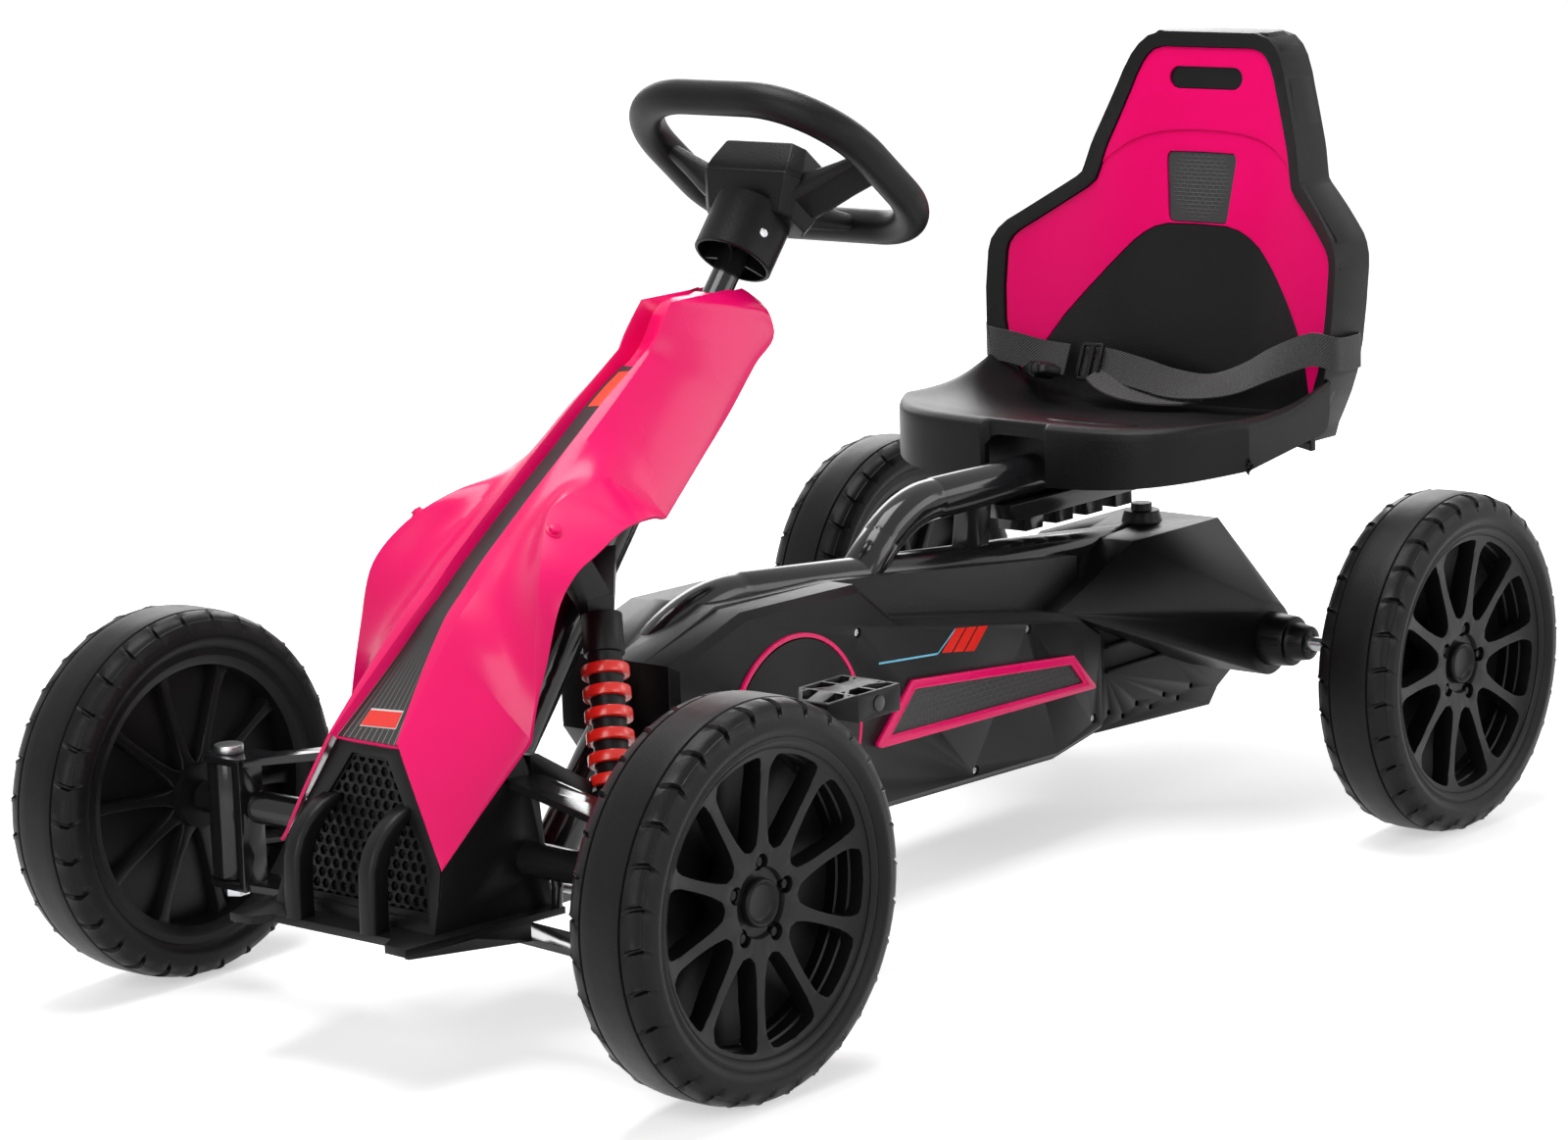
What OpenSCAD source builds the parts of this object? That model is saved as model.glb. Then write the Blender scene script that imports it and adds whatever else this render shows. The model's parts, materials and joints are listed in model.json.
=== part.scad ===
// Child's pedal go-kart: four slim-spoked wheels, a pink nose cone over an inclined
// steering column, a bent spine tube, a bucket seat and a chain-driven rear axle.
// Millimetres. +X points forward, +Y to the driver's left, +Z up.
// The origin is on the floor, below the middle of the wheelbase.

/* [Wheels] */
// Diameter over the tyre
wheel_d = 280; // [240:2:300]
// Width of the tyre
tyre_w = 72; // [60:1:80]
// Diameter of the seam between tyre and rim
seam_d = 227; // [200:1:240]
// Number of spokes in each rim
spokes = 10; // [8:1:12]

/* [Chassis] */
// Distance between the front and the rear axle
wheelbase = 880; // [840:5:900]
// Distance between the middles of the front tyres
front_track = 557; // [550:1:570]
// Distance between the middles of the rear tyres
rear_track = 574; // [560:1:590]
// Outer diameter of the spine tube and the seat tube
tube_d = 34; // [30:1:36]
// Diameter of the axles
axle_d = 12; // [10:0.5:14]

/* [Steering] */
// Diameter of the steering column
column_d = 22; // [18:1:24]
// Angle of the steering column above the floor
column_angle = 50.5; // [48:0.5:52]
// Half width of the steering wheel's rim line
wheel_half_w = 103; // [96:1:116]
// Half height of the steering wheel's rim line
wheel_half_h = 86; // [80:1:100]
// Thickness of the steering wheel's rim
grip_d = 28; // [24:1:32]
// Distance between the two kingpins
kingpin_track = 434; // [426:1:440]

/* [Pedals] */
// Length of each crank arm, from spindle to pedal pin
crank_r = 75; // [65:1:80]
// Angle of the left crank arm above the floor
crank_rest = 43; // [0:1:90]
// Length of a pedal, front to back
pedal_l = 84; // [70:1:90]
// Width of a pedal
pedal_w = 56; // [50:1:60]

/* [Body] */
// Thickness of the moulded plastic shells
skin = 3; // [2.5:0.5:4]

/* [Hidden] */
$fn = 64;

pink = [0.93, 0.10, 0.42];
black = [0.13, 0.13, 0.14];
rubber = [0.16, 0.16, 0.17];
red = [0.90, 0.13, 0.10];
steel = [0.75, 0.76, 0.78];

wheel_r = wheel_d / 2;
seam_r = seam_d / 2;
rim_r = seam_r - 7;
rim_wall = 5;
hub_r = 24;
cap_r = 17;
front_x = wheelbase / 2;
rear_x = -wheelbase / 2;
front_y = front_track / 2;
rear_y = rear_track / 2;
axle_r = axle_d / 2;
// Running clearance on the radius of each bearing
run = 0.05;
far = 500;

// ---- Small helpers ----

// Copies its children, and mirrors them to the other side of the centre plane
module both_sides() {
    for (side = [0, 1]) mirror([0, side, 0]) children();
}

// Round bar between two points
module rod(a, b, d) {
    v = b - a;
    translate(a)
        rotate([0, acos(v.z / norm(v)), atan2(v.y, v.x)])
            cylinder(h = norm(v), d = d);
}

// Cylinder along Y, from y0 to y1, on the axis through [x, z]
module y_cylinder(x, z, y0, y1, r) {
    translate([x, y0, z]) rotate([-90, 0, 0]) cylinder(h = y1 - y0, r = r);
}

// Plate from an outline in the X-Z plane, from y0 to y1
module xz_plate(outline, y0, y1) {
    translate([0, y1, 0]) rotate([90, 0, 0]) linear_extrude(y1 - y0) polygon(outline);
}

function unit(v) = v / norm(v);
function heading(a, b) = atan2(b.y - a.y, b.x - a.x);
function turn(a) = a > 180 ? a - 360 : a < -180 ? a + 360 : a;

// Tube bent in the X-Z plane through the given corners, each rounded by the bend radius.
// A bend is a hair thinner than the straight tube, as bending leaves it, and the straight
// lengths reach into it by bend_lap.
bend_lap = 1;
bend_thin = 0.2;
module bent_tube(corners, bend, d) {
    last = len(corners) - 1;
    cuts = [for (i = [0 : last])
        i == 0 || i == last ? 0
            : bend * tan(abs(turn(heading(corners[i], corners[i + 1])
                - heading(corners[i - 1], corners[i]))) / 2) - bend_lap];
    for (i = [0 : last - 1]) {
        way = unit(corners[i + 1] - corners[i]);
        a = corners[i] + way * cuts[i];
        b = corners[i + 1] - way * cuts[i + 1];
        rod([a.x, 0, a.y], [b.x, 0, b.y], d);
    }
    for (i = [1 : last - 1]) {
        head = heading(corners[i - 1], corners[i]);
        sweep = turn(heading(corners[i], corners[i + 1]) - head);
        side = sweep > 0 ? 1 : -1;
        start = corners[i] - [cos(head), sin(head)] * (cuts[i] + bend_lap);
        centre = start + side * bend * [-sin(head), cos(head)];
        translate([centre.x, 0, centre.y])
            rotate([90, 0, 0])
                rotate([0, 0, head - side * 90 + (side < 0 ? sweep : 0)])
                    rotate_extrude(angle = abs(sweep))
                        translate([bend, 0]) circle(d = d - bend_thin);
    }
}

// Normal of a grid of points at row i, column j, from its neighbours
function grid_normal(g, i, j) =
    let (up = g[min(i + 1, len(g) - 1)][j] - g[max(i - 1, 0)][j],
         across = g[i][min(j + 1, len(g[0]) - 1)] - g[i][max(j - 1, 0)])
    unit(cross(up, across));

// Closed sheet behind a grid of points: along their normals, or all one way. Its
// thickness t is a number, or a list with one for each row.
module sheet(g, t, way = undef) {
    between(g, [for (i = [0 : len(g) - 1]) [for (j = [0 : len(g[0]) - 1])
        g[i][j] - (is_list(t) ? t[i] : t) * (is_undef(way) ? grid_normal(g, i, j) : way)]]);
}

// Closed solid between two grids of points, the front one and the back one
module between(front, back) {
    n = len(front);
    m = len(front[0]);
    skip = n * m;
    function at(i, j) = i * m + j;
    faces = concat(
        [for (i = [0 : n - 2]) for (j = [0 : m - 2])
            let (a = at(i, j), b = at(i, j + 1), c = at(i + 1, j + 1), d = at(i + 1, j))
            each j < (m - 1) / 2
                ? concat(tile(a, b, c, 0), tile(a, c, d, 0), tile(c, b, a, skip), tile(d, c, a, skip))
                : concat(tile(a, b, d, 0), tile(b, c, d, 0), tile(d, b, a, skip), tile(d, c, b, skip))],
        [for (i = [0 : n - 2]) each concat(
            wall(at(i, 0), at(i + 1, 0), skip), wall(at(i + 1, m - 1), at(i, m - 1), skip))],
        [for (j = [0 : m - 2]) each concat(
            wall(at(0, j + 1), at(0, j), skip), wall(at(n - 1, j), at(n - 1, j + 1), skip))]);
    polyhedron(concat([for (row = front) each row], [for (row = back) each row]), faces);
}
function tile(a, b, c, skip) = [[a + skip, b + skip, c + skip]];
// Two triangles that close the solid's edge from a to b
function wall(a, b, skip) = [[a, b, b + skip], [a, b + skip, a + skip]];

// Space ahead of a grid of points, which trims what stands behind them
module ahead_of(g, way) {
    sheet([for (row = g) [for (p = row) p + 150 * way]], 150, way);
}

// Outline with each edge moved inwards by d; its points run anticlockwise
function shrink(outline, d) =
    let (n = len(outline))
    [for (i = [0 : n - 1])
        let (p = outline[i],
             a = unit(p - outline[(i + n - 1) % n]),
             b = unit(outline[(i + 1) % n] - p),
             na = [-a.y, a.x],
             nb = [-b.y, b.x])
        p + (na + nb) * d / (1 + na * nb)];

// Solid between two outlines in the X-Z plane: a at y0 and b at y1
module xz_loft(a, y0, b, y1) {
    n = len(a);
    polyhedron(
        concat([for (p = a) [p.x, y0, p.y]], [for (p = b) [p.x, y1, p.y]]),
        concat(
            [[for (i = [n - 1 : -1 : 0]) i], [for (i = [0 : n - 1]) n + i]],
            [for (i = [0 : n - 1]) [i, (i + 1) % n, n + (i + 1) % n, n + i]]));
}

// Mirror image of a point across the centre plane
function flip(p) = [p.x, -p.y, p.z];

// ---- Wheels ----

shoulder_w = tyre_w / 2;
band_w = 17;
// Half of the tyre's outline, from the band in its middle to the bead
tyre_half = concat(
    [[wheel_r, band_w], [wheel_r - 1.8, band_w + 0.7], [wheel_r - 1.8, band_w + 1.5]],
    [for (a = [15 : 15 : 90]) [
        wheel_r - 16 + 15.5 * cos(a),
        band_w + 2 + (shoulder_w - band_w - 2) * sin(a)]],
    [[seam_r + 6, shoulder_w - 0.8], [seam_r, 32], [seam_r - 2, 30], [rim_r, 30]]);

module tyre() {
    color(rubber)
        rotate([90, 0, 0])
            rotate_extrude($fn = 96)
                polygon(concat(
                    tyre_half,
                    [for (i = [len(tyre_half) - 1 : -1 : 0])
                        [tyre_half[i].x, -tyre_half[i].y]]));
}

// Outline of one spoke, from the hub outwards along X
spoke_outline = [
    [20, -9], [34, -7.5], [48, -4.6], [70, -3.8], [90, -4.2], [103, -7.5],
    [103, 7.5], [90, 4.2], [70, 3.8], [48, 4.6], [34, 7.5], [20, 9]];

// Rim with its outboard face towards +Y; the bore is blind from the inboard side
module rim(bore_r, bore_end) {
    color(black)
        difference() {
            union() {
                rotate([-90, 0, 0]) rotate_extrude($fn = 96) polygon([
                    [rim_r - rim_wall, 24], [rim_r - 3, 29], [rim_r, 30],
                    [seam_r - 2, 30], [seam_r, 32], [seam_r - 3, 33.5],
                    [rim_r + 1, 32.5], [rim_r - 2, 31], [rim_r - rim_wall - 3, 26],
                    [rim_r - rim_wall - 3, -28], [rim_r, -30]
                ]);
                rotate([-90, 0, 0])
                    for (i = [0 : spokes - 1])
                        rotate([0, 0, i * 360 / spokes])
                            linear_extrude(22) polygon(spoke_outline);
                // Closed wall behind the spokes
                rotate([-90, 0, 0]) rotate_extrude($fn = 96) polygon([
                    [hub_r - 1, -12], [rim_r - rim_wall - 1, -5],
                    [rim_r - rim_wall - 1, -8.5], [hub_r - 1, -15.5]
                ]);
                rotate([-90, 0, 0]) translate([0, 0, -30]) cylinder(h = 50, r = hub_r);
                rotate([-90, 0, 0]) translate([0, 0, 20]) cylinder(h = 2, r1 = cap_r + 1, r2 = cap_r);
            }
            rotate([-90, 0, 0]) translate([0, 0, -31]) cylinder(h = bore_end + 31, r = bore_r);
        }
}

module at_wheel(x, y) {
    translate([x, y, wheel_r]) mirror([0, y < 0 ? 1 : 0, 0]) children();
}

stub_end = 10;

module rear_axle() {
    color(steel) {
        y_cylinder(rear_x, wheel_r, -rear_y - stub_end, rear_y + stub_end, axle_r);
    }
}

// ---- Frame ----

spine_bend = 160;
spine_low = 90;
// Corners of the spine tube in the X-Z plane, from the rear housing to the front tray
spine_path = [[-405, 216], [187, 269], [345, 82]];

module spine_tube() {
    color(black)
        difference() {
            bent_tube(spine_path, spine_bend, tube_d);
            translate([0, -far, spine_low - far]) cube([far, 2 * far, far]);
        }
}

seat_bend = 110;
seat_tube_z = 297;
seat_path = [[-40, 250], [-97, seat_tube_z], [-430, seat_tube_z]];

module seat_tube() {
    color(black) {
        difference() {
            union() {
                bent_tube(seat_path, seat_bend, tube_d);
                xz_plate([[-168, 232], [-196, 230], [-204, 283], [-176, 283]], -8, 8);
            }
            bent_tube(spine_path, spine_bend, tube_d + 0.1);
        }
    }
}

rail_top = seat_tube_z - tube_d / 2;
tooth_pitch = 42;

module seat_rail() {
    color(black) {
        xz_plate([[-215, rail_top], [-225, rail_top - 14], [-440, rail_top - 14],
            [-440, rail_top]], -19, 19);
        for (i = [0 : 3])
            translate([-266 - i * tooth_pitch, -14, rail_top - 26]) cube([24, 28, 12]);
    }
}

splitter_t = 6;
splitter_top = 104;
splitter_z = splitter_top - splitter_t;
kingpin_y = kingpin_track / 2;
kingpin_z = [78, 178];
beam_z = 140;
beam_d = 25;
tray_z = 84;

module yoke() {
    plate_t = 5;
    for (z = [kingpin_z[0], kingpin_z[1] - plate_t])
        translate([front_x, kingpin_y, z])
            difference() {
                union() {
                    cylinder(h = plate_t, r = 19);
                    translate([-19, -30, 0]) cube([38, 30, plate_t]);
                }
                translate([0, 0, -1]) cylinder(h = plate_t + 2, r = axle_r);
            }
    translate([front_x - 4, kingpin_y - 30, kingpin_z[0] + plate_t])
        cube([23, 6, kingpin_z[1] - kingpin_z[0] - 2 * plate_t]);
}

// Round stays that hold the splitter's rear corners up to the beam
stay = [[front_x - 8, 99, 146], [front_x - 12, 101, 120], [front_x - 12, 99, 98]];
// Upper arm from the yoke to the nose's flank
module upper_arm() {
    hull() {
        translate([front_x - 15, kingpin_y - 30, kingpin_z[1] - 5]) cube([30, 4, 5]);
        translate([front_x - 15, 70, 196]) cube([30, 4, 5]);
    }
}

module front_frame() {
    color(black) {
        both_sides() {
            yoke();
            y_cylinder(front_x, beam_z, 0, kingpin_y - 24.5, beam_d / 2);
            difference() {
                upper_arm();
                nose_form();
            }
            // Lower arm from the yoke to the tray
            hull() {
                translate([front_x - 15, kingpin_y - 30, kingpin_z[0]]) cube([30, 4, 5]);
                translate([front_x - 15, 40, tray_z]) cube([30, 4, 5]);
            }
            // Upright between tray and beam
            translate([front_x - 14, 34, tray_z + 2]) cube([28, 8, beam_z - tray_z]);
            difference() {
                union() {
                    for (i = [0 : 1]) rod(stay[i], stay[i + 1], 8, $fn = 32);
                    translate(stay[1]) sphere(4.3, $fn = 32);
                }
                translate([front_x - 40, 80, 0]) cube([60, 40, splitter_top]);
            }
        }
        // Pressed tray under the front of the spine
        translate([310, -46, tray_z]) cube([front_x - 296, 92, 6]);
        both_sides() translate([310, 40, tray_z]) cube([front_x - 296, 6, 8]);
    }
}

module kingpins() {
    color(steel)
        both_sides() translate([front_x, kingpin_y, 0]) {
            translate([0, 0, kingpin_z[0] - 8])
                cylinder(h = kingpin_z[1] - kingpin_z[0] + 8, r = axle_r);
            translate([0, 0, kingpin_z[1]]) cylinder(h = 6, r = 11);
            translate([0, 0, kingpin_z[0] - 9]) cylinder(h = 9, r = 10, $fn = 6);
        }
}

// ---- Steering ----

// Unit vector up the steering column, and a point on its axis at the top of the hood
column_way = [-cos(column_angle), 0, sin(column_angle)];
column_top = [119, 0, 494];
function on_column(z) = column_top + column_way * (z - column_top.z) / column_way.z;
// Pose children along the column: local +Z runs up its axis, local +X points forward
module along_column(z) {
    translate(on_column(z)) rotate([0, column_angle - 90, 0]) children();
}

housing_r = 19;
housing_low = 180;
housing_top = 468;
drop_arm = 45;
column_low = 142;
column_len = norm(on_column(housing_top) - on_column(housing_low));

module column_housing() {
    color(black)
        difference() {
            union() {
                along_column(housing_low) cylinder(h = column_len, r = housing_r);
                xz_plate([[350, 232], [380, 196], [431, 150], [449, 150], [446, 166]], -5, 5);
            }
            along_column(housing_low - 30) cylinder(h = column_len + 90, r = column_d / 2 + run);
            y_cylinder(front_x, beam_z, -20, 20, beam_d / 2);
        }
}

wheel_centre = on_column(586.8);
wheel_tilt = column_angle - 90;
grip_r = grip_d / 2;

// Steering wheel rim in its own plane: a rounded rectangle with a flatter driver's side
module grip_ring() {
    top_r = 73;
    low_r = 54;
    w = wheel_half_w;
    h = wheel_half_h;
    for (side = [-1, 1]) {
        translate([h - top_r, side * (w - top_r), 0])
            rotate([0, 0, side > 0 ? 0 : -90])
                rotate_extrude(angle = 90) translate([top_r, 0]) circle(grip_r, $fn = 32);
        translate([-h + low_r, side * (w - low_r), 0])
            rotate([0, 0, side > 0 ? 90 : 180])
                rotate_extrude(angle = 90) translate([low_r, 0]) circle(grip_r, $fn = 32);
        rod([h - top_r, side * w, 0], [-h + low_r, side * w, 0], grip_d, $fn = 32);
    }
    rod([h, -(w - top_r), 0], [h, w - top_r, 0], grip_d, $fn = 32);
    rod([-h, -(w - low_r), 0], [-h, w - low_r, 0], grip_d, $fn = 32);
}

// The ring's middle from the column's axis, and the collar's lower end
ring_at = [3, 0, -3];
collar_low = -90;
collar_r = 31;

module steering_wheel() {
    color(black)
        translate(wheel_centre) rotate([0, wheel_tilt, 0])
            difference() {
                union() {
                    translate(ring_at) grip_ring();
                    // Hub: a cap over a block that narrows to the collar
                    hull() {
                        translate([-24, -40, -2]) cube([50, 80, 4]);
                        translate([-28, -48, -27]) cube([56, 96, 4]);
                    }
                    hull() {
                        translate([-28, -48, -27]) cube([56, 96, 4]);
                        translate([-24, -42, -52]) cube([36, 84, 4]);
                    }
                    // Side spokes
                    for (side = [-1, 1]) hull() {
                        translate([-22, side * 42 - 5, -44]) cube([38, 10, 28]);
                        translate([-10, side * 98 - 4, -9]) cube([32, 8, 12]);
                    }
                    // Spoke towards the driver
                    hull() {
                        translate([-28, -26, -46]) cube([8, 52, 30]);
                        translate([-86, -34, -9]) cube([8, 68, 12]);
                    }
                    translate([0, 0, collar_low]) cylinder(h = 50, r = collar_r);
                }
                translate([0, 0, collar_low - 8]) cylinder(h = 58, r = column_d / 2);
            }
}

// Height of the tie rods, and where their inner ends sit under the drop arm's cross bar
rod_z = 99;
rod_inner_y = 16;
bar_y = rod_inner_y + 7;
rod_inner_x = on_column(column_low).x - drop_arm * sin(column_angle);

module steering_column() {
    top_z = wheel_centre.z - 42 * column_way.z;
    color(black) {
        along_column(housing_low)
            cylinder(h = norm(on_column(top_z) - on_column(housing_low)), r = column_d / 2);
        along_column(column_low) {
            cylinder(h = norm(on_column(housing_low) - on_column(column_low)), r = 8);
            translate([-drop_arm, -6, 0]) cube([drop_arm, 12, 6]);
            cylinder(h = 6, r = 12);
            difference() {
                translate([-drop_arm - 6, -bar_y, 0]) cube([12, 2 * bar_y, 6]);
                for (side = [-1, 1])
                    translate([-drop_arm, side * rod_inner_y, -1]) cylinder(h = 8, r = 3.2);
            }
        }
    }
}

pin_at = [-68, -31];
arm_z = 106;

// Left knuckle: barrel round the kingpin, stub axle and steering arm
module knuckle() {
    color(black)
        difference() {
            union() {
                translate([front_x, kingpin_y, kingpin_z[0] + 6])
                    cylinder(h = kingpin_z[1] - kingpin_z[0] - 12, r = 17);
                y_cylinder(front_x, wheel_r, kingpin_y + 12, front_y + stub_end, axle_r);
                y_cylinder(front_x, wheel_r, kingpin_y + 12, kingpin_y + 28, 12);
                hull() {
                    translate([front_x - 12, kingpin_y - 5, arm_z]) cylinder(h = 6, r = 8, $fn = 32);
                    translate([front_x + pin_at.x, kingpin_y + pin_at.y, arm_z])
                        cylinder(h = 6, r = 8, $fn = 32);
                }
                translate([front_x + pin_at.x, kingpin_y + pin_at.y, rod_z - 8])
                    cylinder(h = arm_z - rod_z + 9, r = 4);
                translate([front_x + pin_at.x, kingpin_y + pin_at.y, rod_z - 8])
                    cylinder(h = 3, r = 7);
            }
            translate([front_x, kingpin_y, 0]) cylinder(h = far, r = axle_r + run);
        }
}

// Left tie rod: an eye on the knuckle's pin, a rod, and a joint head under the drop arm
module tie_rod() {
    inner = [rod_inner_x, rod_inner_y, rod_z];
    outer = [front_x + pin_at.x, kingpin_y + pin_at.y, rod_z];
    color(steel)
        difference() {
            union() {
                translate([outer.x, outer.y, rod_z - 4]) cylinder(h = 8, r = 8);
                translate([inner.x, inner.y, rod_z - 4]) cylinder(h = 6, r = 8);
                translate([inner.x, inner.y, rod_z + 2]) cylinder(h = 2.5, r1 = 6, r2 = 4);
                rod(outer + 6 * unit(inner - outer), inner, 7);
            }
            translate([outer.x, outer.y, 0]) cylinder(h = far, r = 4 + run);
        }
}

// ---- Nose ----

// Outline points of the nose's front and of its open back, left half
nose_front = [[504, 27, 226], [516, 75, 146], [530, 79, 104.02]];
nose_back = [[438, 82, 214], [426, 84, 190], [424, 92, 104.02]];

module point_hull(points) {
    hull()
        for (p = points) {
            translate(p) cube(0.02, center = true);
            translate(flip(p)) cube(0.02, center = true);
        }
}

function inset(points, dy, dz_low, dz_top) =
    [for (p = points) [p.x, p.y - dy, p.z + (p.z < 140 ? dz_low : p.z > 205 ? -dz_top : 0)]];

module nose_form() {
    point_hull(concat(nose_front, nose_back));
}

module nose() {
    color(black)
        difference() {
            nose_form();
            point_hull(concat(
                [for (p = inset(nose_back, skin, skin, skin)) p - [20, 0, 0]],
                [for (p = inset(nose_front, 8, 8, 8)) p - [4, 0, 0]]));
            point_hull(concat(
                [for (p = inset(nose_front, 8, 8, 8)) p - [12, 0, 0]],
                [for (p = inset(nose_front, 8, 8, 8)) p + [20, 0, 0]]));
            // Holes for the beam, and the open floor over the tray
            y_cylinder(front_x, beam_z, -far, far, beam_d / 2);
            translate([300, -50, tray_z - 5]) cube([front_x - 284, 100, 30]);
        }
}

// Hexagonal mesh that fills the nose's mouth
module grille() {
    cell = 9;
    lean = atan2(530 - 508, 230 - 104);
    color(black)
        intersection() {
            translate([530, 0, 104]) rotate([0, -lean, 0]) translate([-9, 0, 0])
                rotate([90, 0, 90]) linear_extrude(3) {
                    difference() {
                        translate([-72, 6]) square([144, 122]);
                        for (row = [0 : 14]) for (col = [-9 : 9])
                            translate([(col + (row % 2) / 2) * cell, 4 + row * cell * 0.866])
                                circle(d = cell - 1.4, $fn = 6);
                    }
                    // Border that the mesh ends in
                    difference() {
                        polygon([[-72, 0], [72, 0], [72, 45], [24, 124], [-24, 124], [-72, 45]]);
                        polygon([[-68, 11], [68, 11], [64, 43], [17, 113], [-17, 113], [-64, 43]]);
                    }
                }
            point_hull(concat(
                [for (p = inset(nose_front, 8, 8, 8)) p - [30, 0, 0]],
                [for (p = inset(nose_front, 8, 8, 8)) p + [20, 0, 0]]));
        }
}

// Bars before the mesh, in the X-Z plane: up from the splitter, then back to the mesh
post_y = 37;
post_w = 16;
post_front = [[556, 104], [556, 150], [552, 160], [544, 169], [534, 176], [524, 181.5],
    [514, 185], [504, 186]];
post_back = [[504, 182], [514, 179], [527, 163], [534, 148], [537, 104]];

module bumper_posts() {
    color(black)
        both_sides()
            translate([0, post_y, 0])
                difference() {
                    xz_plate(concat(post_front, post_back), -post_w / 2, post_w / 2);
                    xz_plate([[400, 104], [530, 104], [508, 230], [400, 230]], -post_w, post_w);
                }
}

module splitter() {
    color(black)
        difference() {
            union() {
                translate([0, 0, splitter_z])
                    linear_extrude(splitter_t)
                        polygon([
                            [424, -104], [567, -87], [566, -66], [553, -59], [553, 59], [566, 66],
                            [567, 87], [424, 104]]);
                // Turned-down edges at the sides
                both_sides() hull() {
                    translate([424, 100, splitter_z - 15]) cube([4, 4, 16]);
                    translate([560, 83, splitter_z - 2]) cube([4, 4, 3]);
                }
            }
            // Opening inside the nose, round the tray and its arms
            translate([0, 0, splitter_z - 1]) linear_extrude(splitter_t + 2)
                polygon([[400, -86], [470, -84], [515, -70], [515, 70], [470, 84], [400, 86]]);
            translate([front_x - 16, -far, 70]) cube([32, 2 * far, splitter_z - 70 + 1]);
        }
}

// ---- Hood ----

// Stations of the hood from its lower tips to its top: the outer edge, the crease and
// the ridge beside the channel, all on the left side
hood_edge = [
    [521, 80, 148], [480, 85, 185], [436, 90, 223], [430, 91, 248], [421, 93, 275],
    [401, 95, 324], [388, 95, 336], [364, 92, 345], [328, 88, 358], [290, 80, 359],
    [252, 60, 350], [203, 52, 384], [161, 46, 414], [125, 42, 445], [100, 40, 466],
    [102, 38, 480], [98, 34, 488]];
hood_crease = [
    [519, 66, 172], [484, 70, 212], [447, 75, 255], [436, 78, 280], [427, 81, 303],
    [413, 82, 331], [392, 68, 358], [370, 54, 373], [330, 46, 382], [303, 47, 383],
    [262, 46, 374], [215, 42, 405], [178, 38, 435], [145, 34, 462], [124, 31, 480],
    [122, 28, 492], [104, 26, 494]];
hood_ridge = [
    [512, 34, 230], [482, 31, 262], [454, 28, 291], [438, 27, 306], [420, 26, 320],
    [401, 25, 336], [378, 24, 353], [352, 23, 371], [322, 22, 391], [292, 21, 411],
    [263, 20, 431], [240, 18, 446], [214, 16, 464], [206, 17, 474], [197, 16, 486],
    [187, 15, 498], [108, 14, 499]];
channel_depth = 12;
hood_last = len(hood_edge) - 1;

// Edge of the channel's floor at a station: inboard of the ridge and below it
function floor_point(i) =
    let (p = hood_ridge[i],
         deep = channel_depth * min(1, i / 3, (hood_last - i) / 2) + 1)
    [p.x - deep * 0.6, p.y * 0.72, p.z - deep * 0.75];
function hood_row(i) =
    let (half = [hood_edge[i], hood_crease[i], (hood_crease[i] + hood_ridge[i]) / 2,
        hood_ridge[i], floor_point(i)])
    concat(half, [for (j = [len(half) - 1 : -1 : 0]) flip(half[j])]);

hood_grid = [for (i = [0 : hood_last]) hood_row(i)];
module hood_form() {
    sheet(hood_grid, skin);
}

module hood() {
    color(pink)
        difference() {
            hood_form();
            along_column(400) cylinder(h = 200, r = column_d / 2 + 5);
        }
}

module hood_strip() {
    lift = [1.2, 0, 1.6];
    color(black)
        difference() {
            sheet([for (i = [1 : hood_last - 4])
                [floor_point(i) + lift, flip(floor_point(i)) + lift]], 3);
            hood_form();
        }
}

// ---- Decorative shocks ----

shock_low = [368, 104, 172];
shock_up = [322, 56, 290];

module along_shock() {
    v = shock_up - shock_low;
    translate(shock_low) rotate([0, acos(v.z / norm(v)), atan2(v.y, v.x)]) children();
}

shock_len = norm(shock_up - shock_low);
coil_pitch = 16.5;

module shock_form() {
    cylinder(h = shock_len, r = 12.5);
    translate([0, 0, -6]) cylinder(h = 8, r = 18);
    translate([0, 0, shock_len - 30]) cylinder(h = 30, r = 15);
}

module shocks() {
    color(black) both_sides() along_shock() shock_form();
}

module shock_coils() {
    color(red)
        both_sides() along_shock()
            for (i = [0 : 5])
                translate([0, 0, 6 + i * coil_pitch])
                    rotate_extrude() translate([12.5, 0]) square([5, 8]);
}

// Brackets of the shocks: the lower one stands on the nose's rear edge, and the upper one
// on the column housing, with an arm that carries the hood at its fender bolt
module shock_brackets() {
    color(black)
        both_sides()
            difference() {
                union() {
                    hull() {
                        translate([424, 74, 186]) cube([8, 10, 26]);
                        translate([354, 92, 152]) cube([26, 10, 14]);
                    }
                    hull() {
                        translate([304, 44, 288]) cube([28, 8, 14]);
                        translate([262, 10, 312]) cube([22, 8, 16]);
                    }
                    hull() {
                        translate([304, 44, 292]) cube([28, 6, 10]);
                        translate([356, 47, 345]) cube([16, 12, 20]);
                    }
                }
                nose_form();
                upper_arm();
                along_shock() {
                    shock_form();
                    cylinder(h = shock_len - 30, r = 18);
                }
                along_column(housing_low) cylinder(h = column_len, r = housing_r);
                hood_form();
                ahead_of(hood_grid, [0.6, 0, 0.8]);
            }
}

// ---- Side covers ----

crank_x = 115;
crank_z = 160;
cover_in = 30;
cover_out = 60;
cover_edge = 6;
disc_r = 79;
boss_r = 5;
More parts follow.
